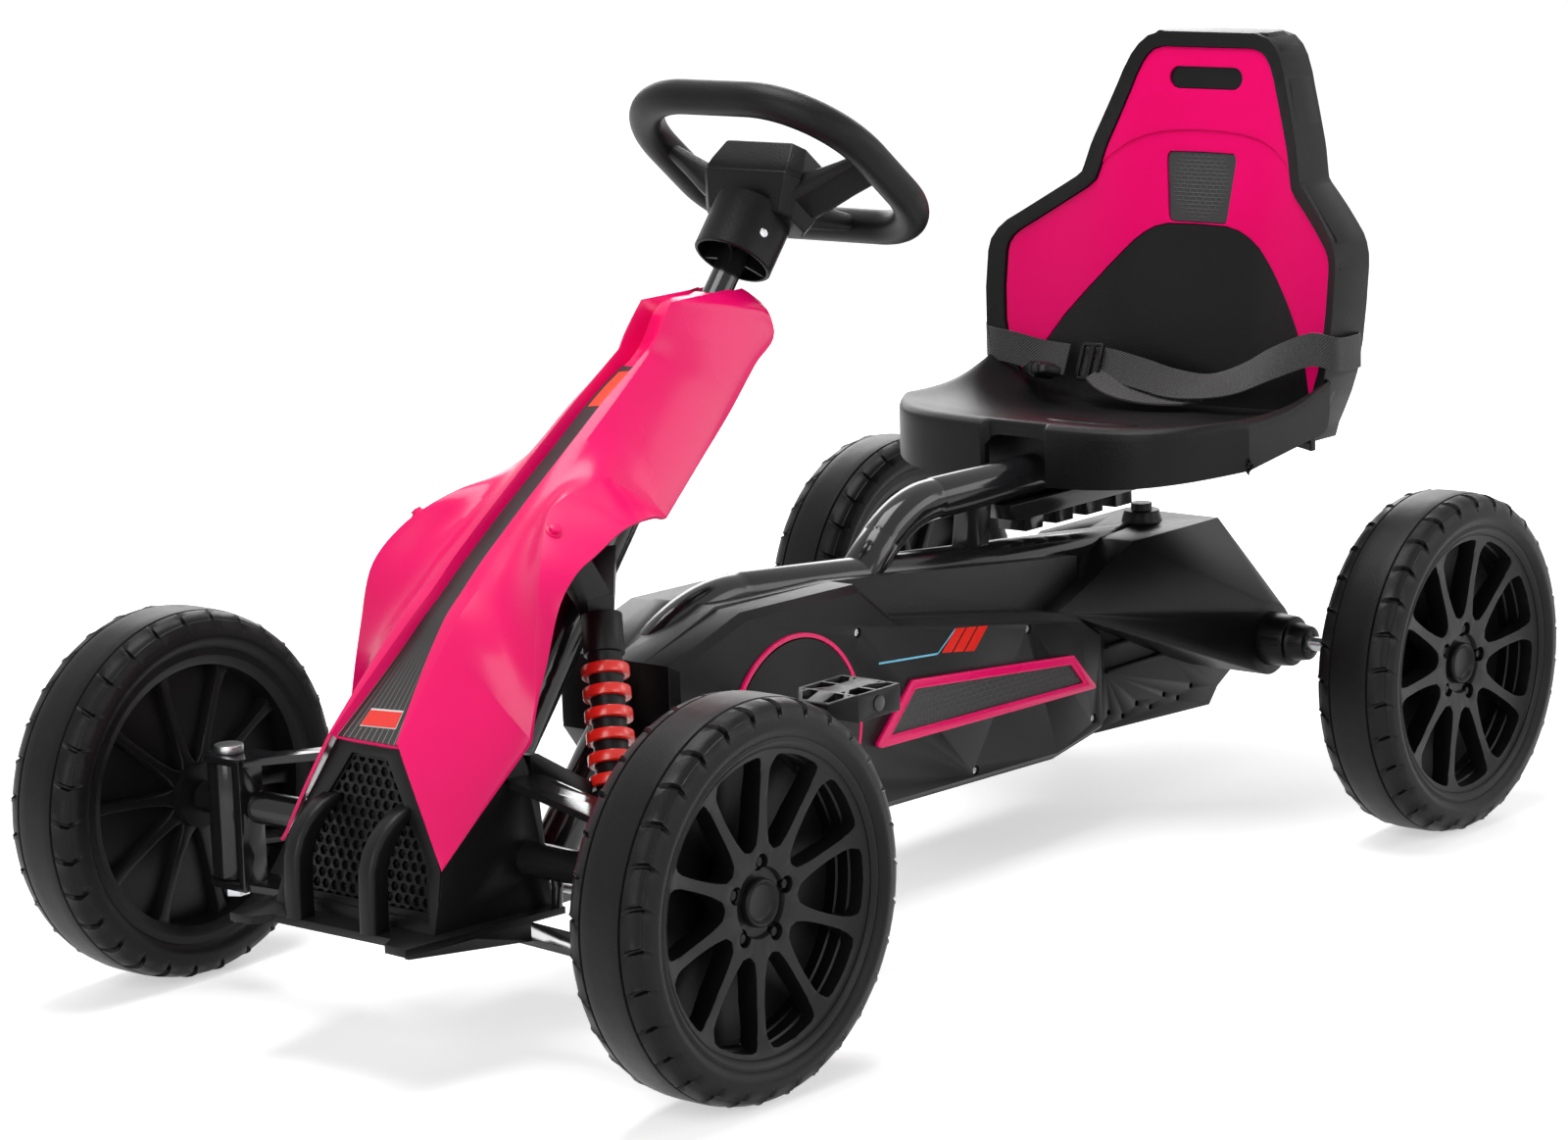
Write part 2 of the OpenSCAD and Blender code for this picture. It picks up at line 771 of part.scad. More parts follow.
// The plate that carries the trim, and the narrower part that closes round the spine
cover_outline = [
    [250, 180], [250, 238], [168, 264], [33, 262], [-12, 228], [-201, 198], [-255, 187],
    [-286, 168], [-286, 84], [-218, 72], [7, 78], [120, 76], [190, 100]];
band_outline = [
    [250, 180], [250, 238], [168, 266], [33, 262], [-290, 227], [-290, 84], [-218, 72],
    [7, 78], [120, 76], [190, 100]];
cover_screws = [[36, 225], [-182, 188], [-268, 97], [-108, 86], [18, 102]];

// Solid form of a cover, drawn in by d from its outer faces
module cover_form(d) {
    y_face = cover_out - cover_edge;
    xz_plate(d > 0 ? shrink(band_outline, d) : band_outline, d > 0 ? -1 : 0, cover_in - d);
    xz_plate(d > 0 ? shrink(cover_outline, d) : cover_outline, d > 0 ? -1 : 0, y_face);
    xz_loft(
        shrink(cover_outline, d), y_face - 1,
        shrink(cover_outline, d + cover_edge), cover_out - d);
}

module side_cover() {
    color(black)
        difference() {
            union() {
                difference() {
                    cover_form(0);
                    cover_form(skin);
                }
                // Raised disc round the crank, and the bearing that the crank turns in
                y_cylinder(crank_x, crank_z, cover_out - 1, cover_out + 3, disc_r - 5);
                y_cylinder(crank_x, crank_z, cover_out - 20, cover_out + 8, 15);
                // Screw bosses, from the plate to the middle, where the two covers meet
                for (p = cover_screws) y_cylinder(p.x, p.y, 0, cover_out - 2, boss_r);
            }
            y_cylinder(crank_x, crank_z, 0, far, crank_rod / 2 + run);
            bent_tube(spine_path, spine_bend, tube_d);
            bent_tube(seat_path, seat_bend, tube_d);
            for (p = cover_screws) y_cylinder(p.x, p.y, cover_out - 3, far, 4);
        }
}

frame_outline = [[18, 204], [8, 146], [20, 128], [-258, 116], [-270, 124], [-232, 162]];
insert_outline = [[-6, 192], [-6, 140], [-250, 128], [-226, 155]];

module side_trim() {
    trim_t = 4;
    color(pink)
        both_sides() {
            difference() {
                y_cylinder(crank_x, crank_z, cover_out, cover_out + trim_t, disc_r);
                y_cylinder(crank_x, crank_z, cover_out - 1, cover_out + trim_t + 1, disc_r - 5);
            }
            difference() {
                xz_plate(frame_outline, cover_out, cover_out + trim_t);
                xz_plate(insert_outline, cover_out - 1, cover_out + trim_t + 1);
                y_cylinder(crank_x, crank_z, cover_out - 1, cover_out + trim_t + 1, disc_r);
            }
        }
}

module side_inserts() {
    color(black) both_sides() xz_plate(insert_outline, cover_out, cover_out + 1.5);
}

// ---- Rear housing ----

housing_half = 48;
arm_end = 121;
// Upper housing over the spine, and the drilled chain pan under it
ridge_outline = [
    [-238, 190], [-345, 232], [-470, 232], [-506, 196], [-503, 120], [-400, 122], [-286, 176]];
pan_outline = [[-290, 180], [-500, 176], [-500, 100], [-470, 84], [-457, 70], [-290, 78]];
pan_holes = [[-310, 92], [-330, 85], [-350, 92], [-370, 85], [-390, 92], [-410, 85],
    [-430, 92]];

module rear_housing() {
    color(black)
        difference() {
            union() {
                hull() {
                    xz_plate(ridge_outline, -housing_half, housing_half);
                    y_cylinder(rear_x, wheel_r, -arm_end, arm_end, 31, $fn = 32);
                }
                difference() {
                    xz_plate(pan_outline, -housing_half + 3, housing_half - 3);
                    xz_plate(shrink(pan_outline, skin), -housing_half + 6, housing_half - 6);
                }
                // Shelves that stiffen the pan's flanks
                for (z = [126, 147])
                    translate([-430, -housing_half, z]) cube([124, 2 * housing_half, 3]);
                // Knob that shifts between drive and freewheel
                translate([-425, 0, 230]) cylinder(h = 12, r1 = 18, r2 = 15);
                translate([-425, 0, 240]) cylinder(h = 8, r = 9);
            }
            y_cylinder(rear_x, wheel_r, -far, far, 8);
            bent_tube(spine_path, spine_bend, tube_d);
            both_sides() cover_form(0);
            for (p = pan_holes) y_cylinder(p.x, p.y, -far, far, 2.5);
        }
}

module axle_bushings() {
    color(black)
        both_sides()
            translate([rear_x, arm_end, wheel_r]) rotate([-90, 0, 0])
                difference() {
                    union() {
                        cylinder(h = 24, r1 = 23, r2 = 21);
                        translate([0, 0, 24]) cylinder(h = 16, r1 = 17, r2 = 14);
                    }
                    translate([0, 0, -1]) cylinder(h = 50, r = axle_r + run);
                }
}

// ---- Pedals ----

pin_y = 122;
function crank_pin(side) = [
    crank_x + side * crank_r * cos(crank_rest), side * pin_y,
    crank_z + side * crank_r * sin(crank_rest)];
crank_rod = 14;
pin_len = 66;

module crank() {
    half_path = [[0, 76], [crank_r, pin_y], [crank_r, pin_y + 8.5]];
    path = concat([for (i = [2 : -1 : 0]) -half_path[i]], half_path);
    color(steel) {
        translate([crank_x, 0, crank_z])
            rotate([-90, -crank_rest, 0])
                bent_tube(path, 15, crank_rod);
        for (side = [-1, 1]) {
            tip = crank_pin(side);
            rod(tip + [0, side * 5, 0], tip + [0, side * pin_len, 0], axle_d);
        }
    }
}

pedal_t = 20;
rib = 3;
// Plan of a pedal round its middle: long sides, with the corners cut off
pedal_plan = let (a = pedal_l / 2, b = pedal_w / 2)
    [[a, -b / 2], [a, b / 2], [a - 18, b], [18 - a, b], [-a, b / 2], [-a, -b / 2],
        [18 - a, -b], [a - 18, -b]];

// Pockets of the tread's lattice: the plan less its rim, its plate and slanted ribs
module pedal_pockets() {
    difference() {
        polygon(shrink(pedal_plan, rib));
        square([48, 20], center = true);
        for (x = [-24, 0, 24]) translate([x - rib / 2, -pedal_w]) square([rib, 2 * pedal_w]);
        for (a = [-35, 35]) rotate(a) translate([-pedal_l, -rib / 2]) square([2 * pedal_l, rib]);
        translate([-pedal_l, -7.5]) square([2 * pedal_l, 15]);
    }
}

module pedal(side) {
    tip = crank_pin(side);
    mid_y = side * (pin_y + 9.5 + pedal_w / 2);
    crown = [[-pedal_l / 2, -5], [-pedal_l / 2 + 16, -pedal_t / 2], [pedal_l / 2 - 16, -pedal_t / 2],
        [pedal_l / 2, -5], [pedal_l / 2, 5], [pedal_l / 2 - 16, pedal_t / 2],
        [-pedal_l / 2 + 16, pedal_t / 2], [-pedal_l / 2, 5]];
    color(black)
        translate([tip.x, mid_y, tip.z])
            difference() {
                intersection() {
                    translate([0, 0, -pedal_t]) linear_extrude(2 * pedal_t) polygon(pedal_plan);
                    xz_plate(crown, -pedal_w, pedal_w);
                }
                for (z = [4, -pedal_t - 4]) translate([0, 0, z]) linear_extrude(pedal_t) pedal_pockets();
                y_cylinder(0, 0, -pedal_w, pedal_w, axle_r + run);
            }
}

// ---- Seat ----

// The back at each height: height, half width and depth of its rim
back_rows = [
    [318, 150, 14], [345, 166, 14], [390, 178, 34], [455, 180, 34], [478, 170, 34], [518, 113, 34],
    [545, 106, 34], [600, 86, 32], [628, 72, 30], [640, 56, 26]];
back_cols = 12;
back_depths = [for (p = back_rows) p[2]];
seat_lean = 8;
// Front surface of the back: leans, and comes forward towards the sides
function back_x(y, z) =
    -518 - (z - 476) * tan(seat_lean) + 42 * pow(max(0, abs(y) - 60) / 102, 1.6);
function back_grid(trim, ahead) = [for (p = back_rows) [for (j = [0 : back_cols])
    let (y = (p[1] - trim) * (1 - 2 * j / back_cols),
         z = p[0] > 600 ? p[0] - trim : p[0] < 330 ? p[0] + max(0, trim - 14) : p[0])
    [back_x(y, z) + ahead, y, z]]];

module back_solid() {
    sheet(back_grid(0, 0), back_depths, [1, 0, 0]);
}

module seat_back() {
    rib_z = [400, 470, 540, 600];
    color(black) {
        // Moulded shell, open at the rear
        difference() {
            back_solid();
            sheet(back_grid(18, -5), 60, [1, 0, 0]);
        }
        // Stiffening ribs across the opening
        intersection() {
            sheet(back_grid(8, -3), 22, [1, 0, 0]);
            union() {
                for (y = [-75, -25, 25, 75]) translate([-600, y - 1.5, 300]) cube([200, 3, 400]);
                for (z = rib_z) translate([-600, -200, z]) cube([200, 400, 3]);
            }
        }
    }
}

// Outline of the black lower panel between the pink sides, seen from the front
pad_half = [[0, 476], [30, 476], [71, 462], [112, 420], [140, 375], [160, 300]];
vent_half = [[0, 478], [30, 478], [36, 538], [0, 538]];
panel_t = 3;

module front_prism(half) {
    translate([-600, 0, 0]) rotate([90, 0, 90]) linear_extrude(300)
        polygon(concat(half, [for (i = [len(half) - 1 : -1 : 0]) [-half[i].x, half[i].y]]));
}

// Layer of the given thickness that lies on the front of the back
module back_layer(trim, t) {
    difference() {
        sheet(back_grid(trim, t), t + 3, [1, 0, 0]);
        back_solid();
        pan_form();
    }
}

module seat_panel() {
    color(pink)
        difference() {
            back_layer(14, panel_t);
            front_prism(pad_half);
            front_prism(vent_half);
        }
}

module seat_inserts() {
    color(black)
        intersection() {
            back_layer(16, 2);
            union() {
                front_prism([for (p = pad_half) [max(0, p.x - 1), p.y - 1]]);
                front_prism([for (p = vent_half) [max(0, p.x - 1), p.y + (p.y < 500 ? 1 : -1)]]);
            }
        }
}

pan_rows = 9;
pan_cols = 12;
pan_half = 176;
pan_wall = skin + 1;
// Front edge of the pan, bowed back towards its corners, and its rear edge under the back
function pan_front(s) = -244 - 12 * s * s - 74 * pow(abs(s), 6);
function pan_rear(s) = back_x(pan_half * s, 330) - 4;
// Top of the pan: front lip, hollow for the thighs, and raised sides
function pan_top(s, t) =
    346 - 22 * sin(90 * min(1, 1.2 * t)) + (2 + 44 * t) * pow(abs(s), 5);
function pan_hem(s, t) = 292 + 13 * pow(abs(s), 3) + 16 * t;

// Point of the pan's moulding, drawn in by d: the outermost row and columns stand a
// little lower, which rounds the lip. In the hem grid each point is dropped to the hem.
function pan_point(i, j, d, hem) =
    let (k = min(j, pan_cols - j),
         s = (j < pan_cols / 2 ? 1 : -1)
            * (k == 0 ? 1 : 0.955 * (1 - (k - 1) / (pan_cols / 2 - 1))),
         t = i == 0 ? 0 : 0.04 + 0.96 * (i - 1) / (pan_rows - 1),
         x = (1 - t) * (pan_front(s) - d) + t * (pan_rear(s) + d),
         z = hem ? pan_hem(s, t) - 3 * d : pan_top(s, t) - d - (min(i, k) == 0 ? 9 : 0))
    [x, (pan_half - d) * s, z];
function pan_grid(d, hem) =
    [for (i = [0 : pan_rows]) [for (j = [0 : pan_cols]) pan_point(i, j, d, hem)]];
arch_half = 32;
module pan_form() {
    between(pan_grid(0, false), pan_grid(0, true));
}

module seat_pan() {
    color(black)
        difference() {
            union() {
                // Moulded shell, open below
                difference() {
                    pan_form();
                    between(pan_grid(pan_wall, false), pan_grid(pan_wall, true));
                }
                // Ribs: two beside the arch and three saddles on the seat tube
                difference() {
                    union() {
                        for (y = [-arch_half - 3, arch_half])
                            translate([-470, y, 304]) cube([208, 3, 60]);
                        for (x = [-290, -350, -410])
                            translate([x, -arch_half - 1, 304]) cube([12, 2 * arch_half + 2, 60]);
                    }
                    ahead_of(pan_grid(1, false), [0, 0, 1]);
                }
            }
            // Arch in the front skirt, the seat tube, and the back
            translate([-276, -arch_half, 250]) cube([60, 2 * arch_half, 80]);
            rod([-150, 0, seat_tube_z], [-430, 0, seat_tube_z], tube_d);
            back_solid();
        }
}

belt_w = 28;
belt_t = 1.6;
// Middle line of each strap, and which way its width points there
belt_left = [
    [[-511, 130, 384], [0, 0, 1]], [[-500, 160, 384], [0, 0, 1]], [[-489, 180, 384], [0, 0, 1]],
    [[-478, 184, 384], [0, 0, 1]], [[-458, 184, 384], [0, 0, 1]], [[-447, 180, 386], [0, 0, 1]],
    [[-444, 160, 388], [0, 0, 1]], [[-446, 122, 374], [-0.2, 0, 1]], [[-457, 80, 356], [-0.5, 0, 0.8]],
    [[-462, 41, 346], [-0.7, 0, 0.6]], [[-464, 6, 346], [-0.6, 0, 0.7]],
    [[-464, -26, 352], [-0.5, 0, 0.8]], [[-462, -59, 358], [-0.4, 0, 0.9]],
    [[-460, -84, 360], [-0.4, 0, 0.9]]];
belt_right = [
    [[-458, -100, 360], [-0.4, 0, 0.9]], [[-456, -126, 362], [-0.3, 0, 0.9]],
    [[-450, -152, 368], [-0.1, 0, 1]], [[-447, -176, 372], [0, 0, 1]],
    [[-458, -184, 376], [0, 0, 1]], [[-478, -184, 378], [0, 0, 1]],
    [[-489, -180, 380], [0, 0, 1]], [[-500, -160, 380], [0, 0, 1]], [[-511, -130, 380], [0, 0, 1]]];

module strap(path) {
    sheet([for (half = [-0.5, 0.5]) [for (p = path) p[0] + half * belt_w * unit(p[1])]], belt_t);
}

module belt() {
    color(black)
        difference() {
            union() {
                strap(belt_left);
                strap(belt_right);
            }
            back_solid();
            pan_form();
            buckle_form();
        }
}

module buckle_form() {
    translate([-436, -112, 353]) rotate([8, -14, -38]) {
        translate([-7, -36, -6]) cube([14, 20, 12]);
        translate([-10, -17, -7]) cube([20, 34, 14]);
        translate([-8, 16, -6]) cube([16, 18, 12]);
    }
}

module buckle() {
    color(black)
        difference() {
            buckle_form();
            pan_form();
        }
}

// ---- Assembly ----

spine_tube();
seat_tube();
seat_rail();
front_frame();
kingpins();
column_housing();
nose();
grille();
bumper_posts();
splitter();
hood();
hood_strip();
shock_brackets();
shocks();
shock_coils();
side_cover();  // side_cover_left
mirror([0, 1, 0]) side_cover();  // side_cover_right
side_trim();
side_inserts();
rear_housing();
axle_bushings();
seat_pan();
seat_back();
seat_panel();
seat_inserts();
belt();
buckle();
steering_wheel();
steering_column();
knuckle();  // knuckle_left
mirror([0, 1, 0]) knuckle();  // knuckle_right
tie_rod();  // tie_rod_left
mirror([0, 1, 0]) tie_rod();  // tie_rod_right
at_wheel(front_x, front_y) rim(axle_r + run, stub_end + 1);  // rim_front_left
at_wheel(front_x, front_y) tyre();  // tyre_front_left
at_wheel(front_x, -front_y) rim(axle_r + run, stub_end + 1);  // rim_front_right
at_wheel(front_x, -front_y) tyre();  // tyre_front_right
rear_axle();
at_wheel(rear_x, rear_y) rim(axle_r, stub_end);  // rim_rear_left
at_wheel(rear_x, rear_y) tyre();  // tyre_rear_left
at_wheel(rear_x, -rear_y) rim(axle_r, stub_end);  // rim_rear_right
at_wheel(rear_x, -rear_y) tyre();  // tyre_rear_right
crank();
pedal(1);  // pedal_left
pedal(-1);  // pedal_right
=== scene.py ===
# %% [markdown]
# A child's pedal go-kart: pink moulded panels over a black tube frame, spoked wheels
# with foam tyres, a bucket seat with a lap belt, and a chain drive to the rear axle.
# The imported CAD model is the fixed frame. Each cell below makes one kind of piece or
# finish, sets it where the CAD says, and lets it ride on its body.

# %% Load the frame
import json
import math

import bpy
from mathutils import Matrix, Vector

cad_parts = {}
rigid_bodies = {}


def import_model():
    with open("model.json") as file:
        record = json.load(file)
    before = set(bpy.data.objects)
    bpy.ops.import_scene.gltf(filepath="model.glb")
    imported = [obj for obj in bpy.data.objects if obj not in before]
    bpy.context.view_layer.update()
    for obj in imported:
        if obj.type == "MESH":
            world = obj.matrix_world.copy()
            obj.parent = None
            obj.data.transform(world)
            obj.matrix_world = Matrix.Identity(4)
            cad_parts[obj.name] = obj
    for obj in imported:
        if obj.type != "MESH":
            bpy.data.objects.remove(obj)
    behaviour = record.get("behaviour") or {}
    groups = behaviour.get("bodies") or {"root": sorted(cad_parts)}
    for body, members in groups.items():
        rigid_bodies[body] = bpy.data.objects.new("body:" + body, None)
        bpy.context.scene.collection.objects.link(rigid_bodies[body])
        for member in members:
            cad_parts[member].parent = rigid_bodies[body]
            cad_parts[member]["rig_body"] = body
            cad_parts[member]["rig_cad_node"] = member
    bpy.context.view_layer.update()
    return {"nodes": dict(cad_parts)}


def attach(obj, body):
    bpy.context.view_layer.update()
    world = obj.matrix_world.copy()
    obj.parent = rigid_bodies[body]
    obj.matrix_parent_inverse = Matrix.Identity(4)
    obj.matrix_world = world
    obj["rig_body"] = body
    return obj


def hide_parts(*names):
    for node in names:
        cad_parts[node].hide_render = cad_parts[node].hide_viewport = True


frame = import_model()

# %% [markdown]
# Every later step needs the same few moves: select one piece, step into edit mode, pick
# parts of it by where they are, apply a modifier. They are written once here. Sizes are
# given in millimetres, as on a drawing, and become metres when a point is set.

# %% Hand tools
MM = 0.001


def deselect():
    if bpy.context.object and bpy.context.object.mode != "OBJECT":
        bpy.ops.object.mode_set(mode="OBJECT")
    bpy.ops.object.select_all(action="DESELECT")


def activate(piece, *others):
    deselect()
    for each in (piece, *others):
        each.select_set(True)
    bpy.context.view_layer.objects.active = piece


def edit(piece, select="SELECT"):
    activate(piece)
    bpy.ops.object.mode_set(mode="EDIT")
    bpy.ops.mesh.select_mode(type="VERT")
    bpy.ops.mesh.select_all(action=select)


def close_edit():
    bpy.ops.object.mode_set(mode="OBJECT")


def outward(piece):
    """Merges doubled points and turns every face outwards"""
    edit(piece)
    bpy.ops.mesh.remove_doubles(threshold=1e-6)
    bpy.ops.mesh.normals_make_consistent(inside=False)
    close_edit()
    return piece


def modify(piece, kind, **settings):
    activate(piece)
    modifier = piece.modifiers.new(kind.lower(), kind)
    for key, value in settings.items():
        setattr(modifier, key, value)
    bpy.ops.object.modifier_apply(modifier=modifier.name)
    return piece


def smooth(piece, angle=35):
    activate(piece)
    bpy.ops.object.shade_smooth_by_angle(angle=math.radians(angle))
    return piece


def soften(piece, width, angle=30, segments=2, smooth_angle=40):
    """A bevel on every edge that is sharper than the angle"""
    modify(piece, "BEVEL", width=width * MM, segments=segments, limit_method="ANGLE",
           angle_limit=math.radians(angle))
    return smooth(piece, smooth_angle)


def thicken(piece, wall, way=(0, 0, 1)):
    """Turns an open skin's faces to one side, and gives it a wall behind them"""
    if sum(face.normal.dot(Vector(way)) * face.area for face in piece.data.polygons) < 0:
        edit(piece)
        bpy.ops.mesh.flip_normals()
        close_edit()
    return modify(piece, "SOLIDIFY", thickness=wall * MM, offset=-1)


def cut(piece, tool, operation="DIFFERENCE"):
    modify(piece, "BOOLEAN", object=tool, operation=operation, solver="EXACT")
    bpy.data.objects.remove(tool)
    return piece


def join(first, *rest):
    if rest:
        activate(first, *rest)
        bpy.ops.object.join()
    return first


def copy(piece):
    activate(piece)
    bpy.ops.object.duplicate()
    return bpy.context.object


def set_at(piece, place, turn=Matrix.Identity(4)):
    """Turns and moves the mesh itself, so that the object stays at the origin"""
    piece.data.transform(Matrix.Translation(Vector(place) * MM) @ turn)
    return piece


# %% [markdown]
# Most panels are an outline given some depth, or a skin drawn through rows of points.
# A circle or a grid is added with as many points as needed, each point is moved to its
# place, and the face is then extruded, or the open ends are filled. Round parts are a
# profile spun about the Y axis, as on a lathe.

# %% Shapes from outlines, rows and profiles
def added(points):
    """The primitive just added, with its points moved to the given places"""
    piece = bpy.context.object
    for vertex, point in zip(piece.data.vertices, points):
        vertex.co = Vector(point) * MM
    return piece


def polar(radius, angle):
    return radius * math.cos(angle), radius * math.sin(angle)


def turns(count, shift=0.0):
    """Angles that share out one full turn"""
    return [2 * math.pi * (k + shift) / count for k in range(count)]


def outline_face(outline, place):
    """One face; place(u, v) gives the point of each corner of the outline"""
    deselect()
    bpy.ops.mesh.primitive_circle_add(vertices=len(outline), radius=0.1, fill_type="NGON")
    return added([place(u, v) for u, v in outline])


def push(piece, way):
    """Extrudes a face into a block"""
    edit(piece)
    bpy.ops.mesh.extrude_region_move(TRANSFORM_OT_translate={"value": Vector(way) * MM})
    close_edit()
    return outward(piece)


def skin(rows, closed=True, caps=True):
    """A grid through rows of points; closed rows are rings, and caps fill both ends"""
    rows = [list(row) + ([row[0]] if closed else []) for row in rows]
    deselect()
    bpy.ops.mesh.primitive_grid_add(x_subdivisions=len(rows[0]) - 1, y_subdivisions=len(rows) - 1)
    piece = added([point for row in rows for point in row])
    if closed:
        edit(piece)
        bpy.ops.mesh.remove_doubles(threshold=1e-6)
        if caps:
            bpy.ops.mesh.select_all(action="DESELECT")
            bpy.ops.mesh.select_non_manifold()
            bpy.ops.mesh.fill_holes(sides=0)
        bpy.ops.mesh.select_all(action="SELECT")
        bpy.ops.mesh.normals_make_consistent(inside=False)
        close_edit()
    return piece


def turned(profile, steps=96):
    """A closed profile of (radius, y) points turned round the Y axis"""
    deselect()
    bpy.ops.mesh.primitive_circle_add(vertices=len(profile), radius=0.1, fill_type="NOTHING")
    piece = added([(radius, y, 0) for radius, y in profile])
    edit(piece)
    bpy.ops.mesh.spin(steps=steps, angle=2 * math.pi, center=(0, 0, 0), axis=(0, 1, 0))
    close_edit()
    return outward(piece)


def rod(a, b, radius, sides=24):
    """A round bar from a to b, or a hexagon with six sides"""
    a, b = Vector(a) * MM, Vector(b) * MM
    deselect()
    bpy.ops.mesh.primitive_cylinder_add(vertices=sides, radius=radius * MM, depth=(b - a).length,
                                        location=(a + b) / 2,
                                        rotation=(b - a).to_track_quat("Z", "Y").to_euler())
    bpy.ops.object.transform_apply(location=True, rotation=True, scale=True)
    return bpy.context.object


# %% [markdown]
# A finished piece gets its name, its finish, and the body that carries it. Pieces whose
# CAD form is already right are copied, their loose triangles are merged into flat faces,
# and a small bevel is run along the edges, because no moulded or pressed edge is
# perfectly sharp.

# %% Finishing a piece
def fit(piece, name, body, slot, finish, *nodes):
    activate(piece)
    piece.name = name
    piece.data.materials.clear()
    piece.data.materials.append(finish)
    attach(piece, body)
    if nodes:
        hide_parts(*nodes)
    print(name, len(piece.data.polygons), "faces on", body)
    return piece


def dress(node, slot, finish, bevel, angle=30):
    """A CAD node's copy, merged, bevelled and finished"""
    piece = copy(frame["nodes"][node])
    body = piece["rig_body"]
    piece.parent = None
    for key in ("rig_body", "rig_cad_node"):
        del piece[key]
    bpy.ops.mesh.customdata_custom_splitnormals_clear()
    edit(piece)
    bpy.ops.mesh.remove_doubles(threshold=1e-5)
    bpy.ops.mesh.dissolve_limited(angle_limit=math.radians(0.8))
    close_edit()
    soften(piece, bevel, angle)
    return fit(piece, node + "_finished", body, slot, finish, node)


# %% [markdown]
# The camera stands in front of the kart and to its left, a little above the seat, with a
# long lens, so that the wheels stay round. Its direction is worked out from three
# angles, and the frame of the camera is built from the view direction.

# %% Camera
def set_camera(place, heading, pitch, roll, lens):
    heading, pitch, roll = (math.radians(a) for a in (heading, pitch, roll))
    ahead = Vector((math.cos(pitch) * math.cos(heading),
                    math.cos(pitch) * math.sin(heading), math.sin(pitch)))
    level = ahead.cross(Vector((0, 0, 1))).normalized()
    above = level.cross(ahead)
    right = level * math.cos(roll) + above * math.sin(roll)
    up = above * math.cos(roll) - level * math.sin(roll)
    data = bpy.data.cameras.new("camera")
    data.lens, data.sensor_width, data.clip_end = lens, 36, 50
    camera = bpy.data.objects.new("camera", data)
    bpy.context.scene.collection.objects.link(camera)
    turn = Matrix((right, up, -ahead)).transposed().to_4x4()
    camera.matrix_world = Matrix.Translation(Vector(place) * MM) @ turn
    bpy.context.scene.camera = camera
    return camera


camera = set_camera((2639.7, 2190.9, 937.5), 220.2404, -11.1210, -1.9062, 102.48)
print("camera", [round(c, 3) for c in camera.location])

# %% [markdown]
# Black plastic shows its form by what it reflects, so it is lit by large soft boxes,
# whose long reflections draw the edges. A wide one hangs overhead, one stands behind the
# seat, and three stand round the left side.

# %% Soft boxes
bpy.context.scene.view_settings.view_transform = "Standard"
AIM = Vector((0, 0, 0.25))
SOFT_BOXES = {
    "overhead": ((0.1, -0.2, 2.5), (1.6, 1.2), 46), "behind": ((-2.3, -2.1, 1.45), (2.4, 1.2), 34),
    "front_left": ((2.6, 0.7, 1.3), (1.0, 1.9), 26), "left": ((0.4, 2.9, 1.1), (2.0, 0.9), 18),
    "left_rear": ((-1.7, 2.2, 1.3), (1.4, 1.2), 16)}
for name, (place, size, power) in SOFT_BOXES.items():
    data = bpy.data.lights.new(name, "AREA")
    data.shape, data.size, data.size_y, data.energy = "RECTANGLE", *size, power
    lamp = bpy.data.objects.new(name, data)
    bpy.context.scene.collection.objects.link(lamp)
    lamp.location = place
    lamp.rotation_euler = (AIM - Vector(place)).to_track_quat("-Z", "Y").to_euler()
print("soft boxes:", *SOFT_BOXES)

# %% [markdown]
# Materials are small networks of nodes. Three helpers keep them readable: one adds a
# node and sets or links its sockets by name, one does sums, and one tells which rays
# end in the eye, directly or by way of gloss or glass.

# %% Node tools
def feed(tree, socket, value):
    """Links another node's output to a socket, or sets the socket's constant"""
    if isinstance(value, bpy.types.NodeSocket):
        tree.links.new(value, socket)
    else:
        socket.default_value = value


def add_node(tree, kind, settings=None, **values):
    node = tree.nodes.new("ShaderNode" + kind)
    for key, value in (settings or {}).items():
        setattr(node, key, value)
    for label, value in values.items():
        feed(tree, node.inputs[label.replace("_", " ")], value)
    return node


def math_node(tree, operation, *values, clamp=False):
    node = add_node(tree, "Math", {"operation": operation, "use_clamp": clamp})
    for socket, value in zip(node.inputs, values):
        feed(tree, socket, value)
    return node.outputs[0]


def seen_rays(tree):
    rays = add_node(tree, "LightPath").outputs
    clear = math_node(tree, "MAXIMUM", rays["Is Camera Ray"], rays["Is Glossy Ray"])
    return math_node(tree, "MAXIMUM", clear, rays["Is Transmission Ray"])


# %% [markdown]
# The kart stands on white paper that runs on into a white background. The world looks
# white but lights the kart only weakly, so that the soft boxes do the work. The floor
# glows a little more with its distance from the kart, which keeps the shadow and lets
# the paper's far edge vanish.

# %% World and floor
world = bpy.data.worlds.new("studio")
bpy.context.scene.world = world
world.use_nodes = True
tree = world.node_tree
dim = tree.nodes["Background"]
dim.inputs["Color"].default_value = (1, 1, 1, 1)
dim.inputs["Strength"].default_value = 0.13
bright = add_node(tree, "Background", Color=(1, 1, 1, 1))
blend = add_node(tree, "MixShader", Fac=seen_rays(tree))
tree.links.new(dim.outputs[0], blend.inputs[1])
tree.links.new(bright.outputs[0], blend.inputs[2])
tree.links.new(blend.outputs[0], tree.nodes["World Output"].inputs["Surface"])

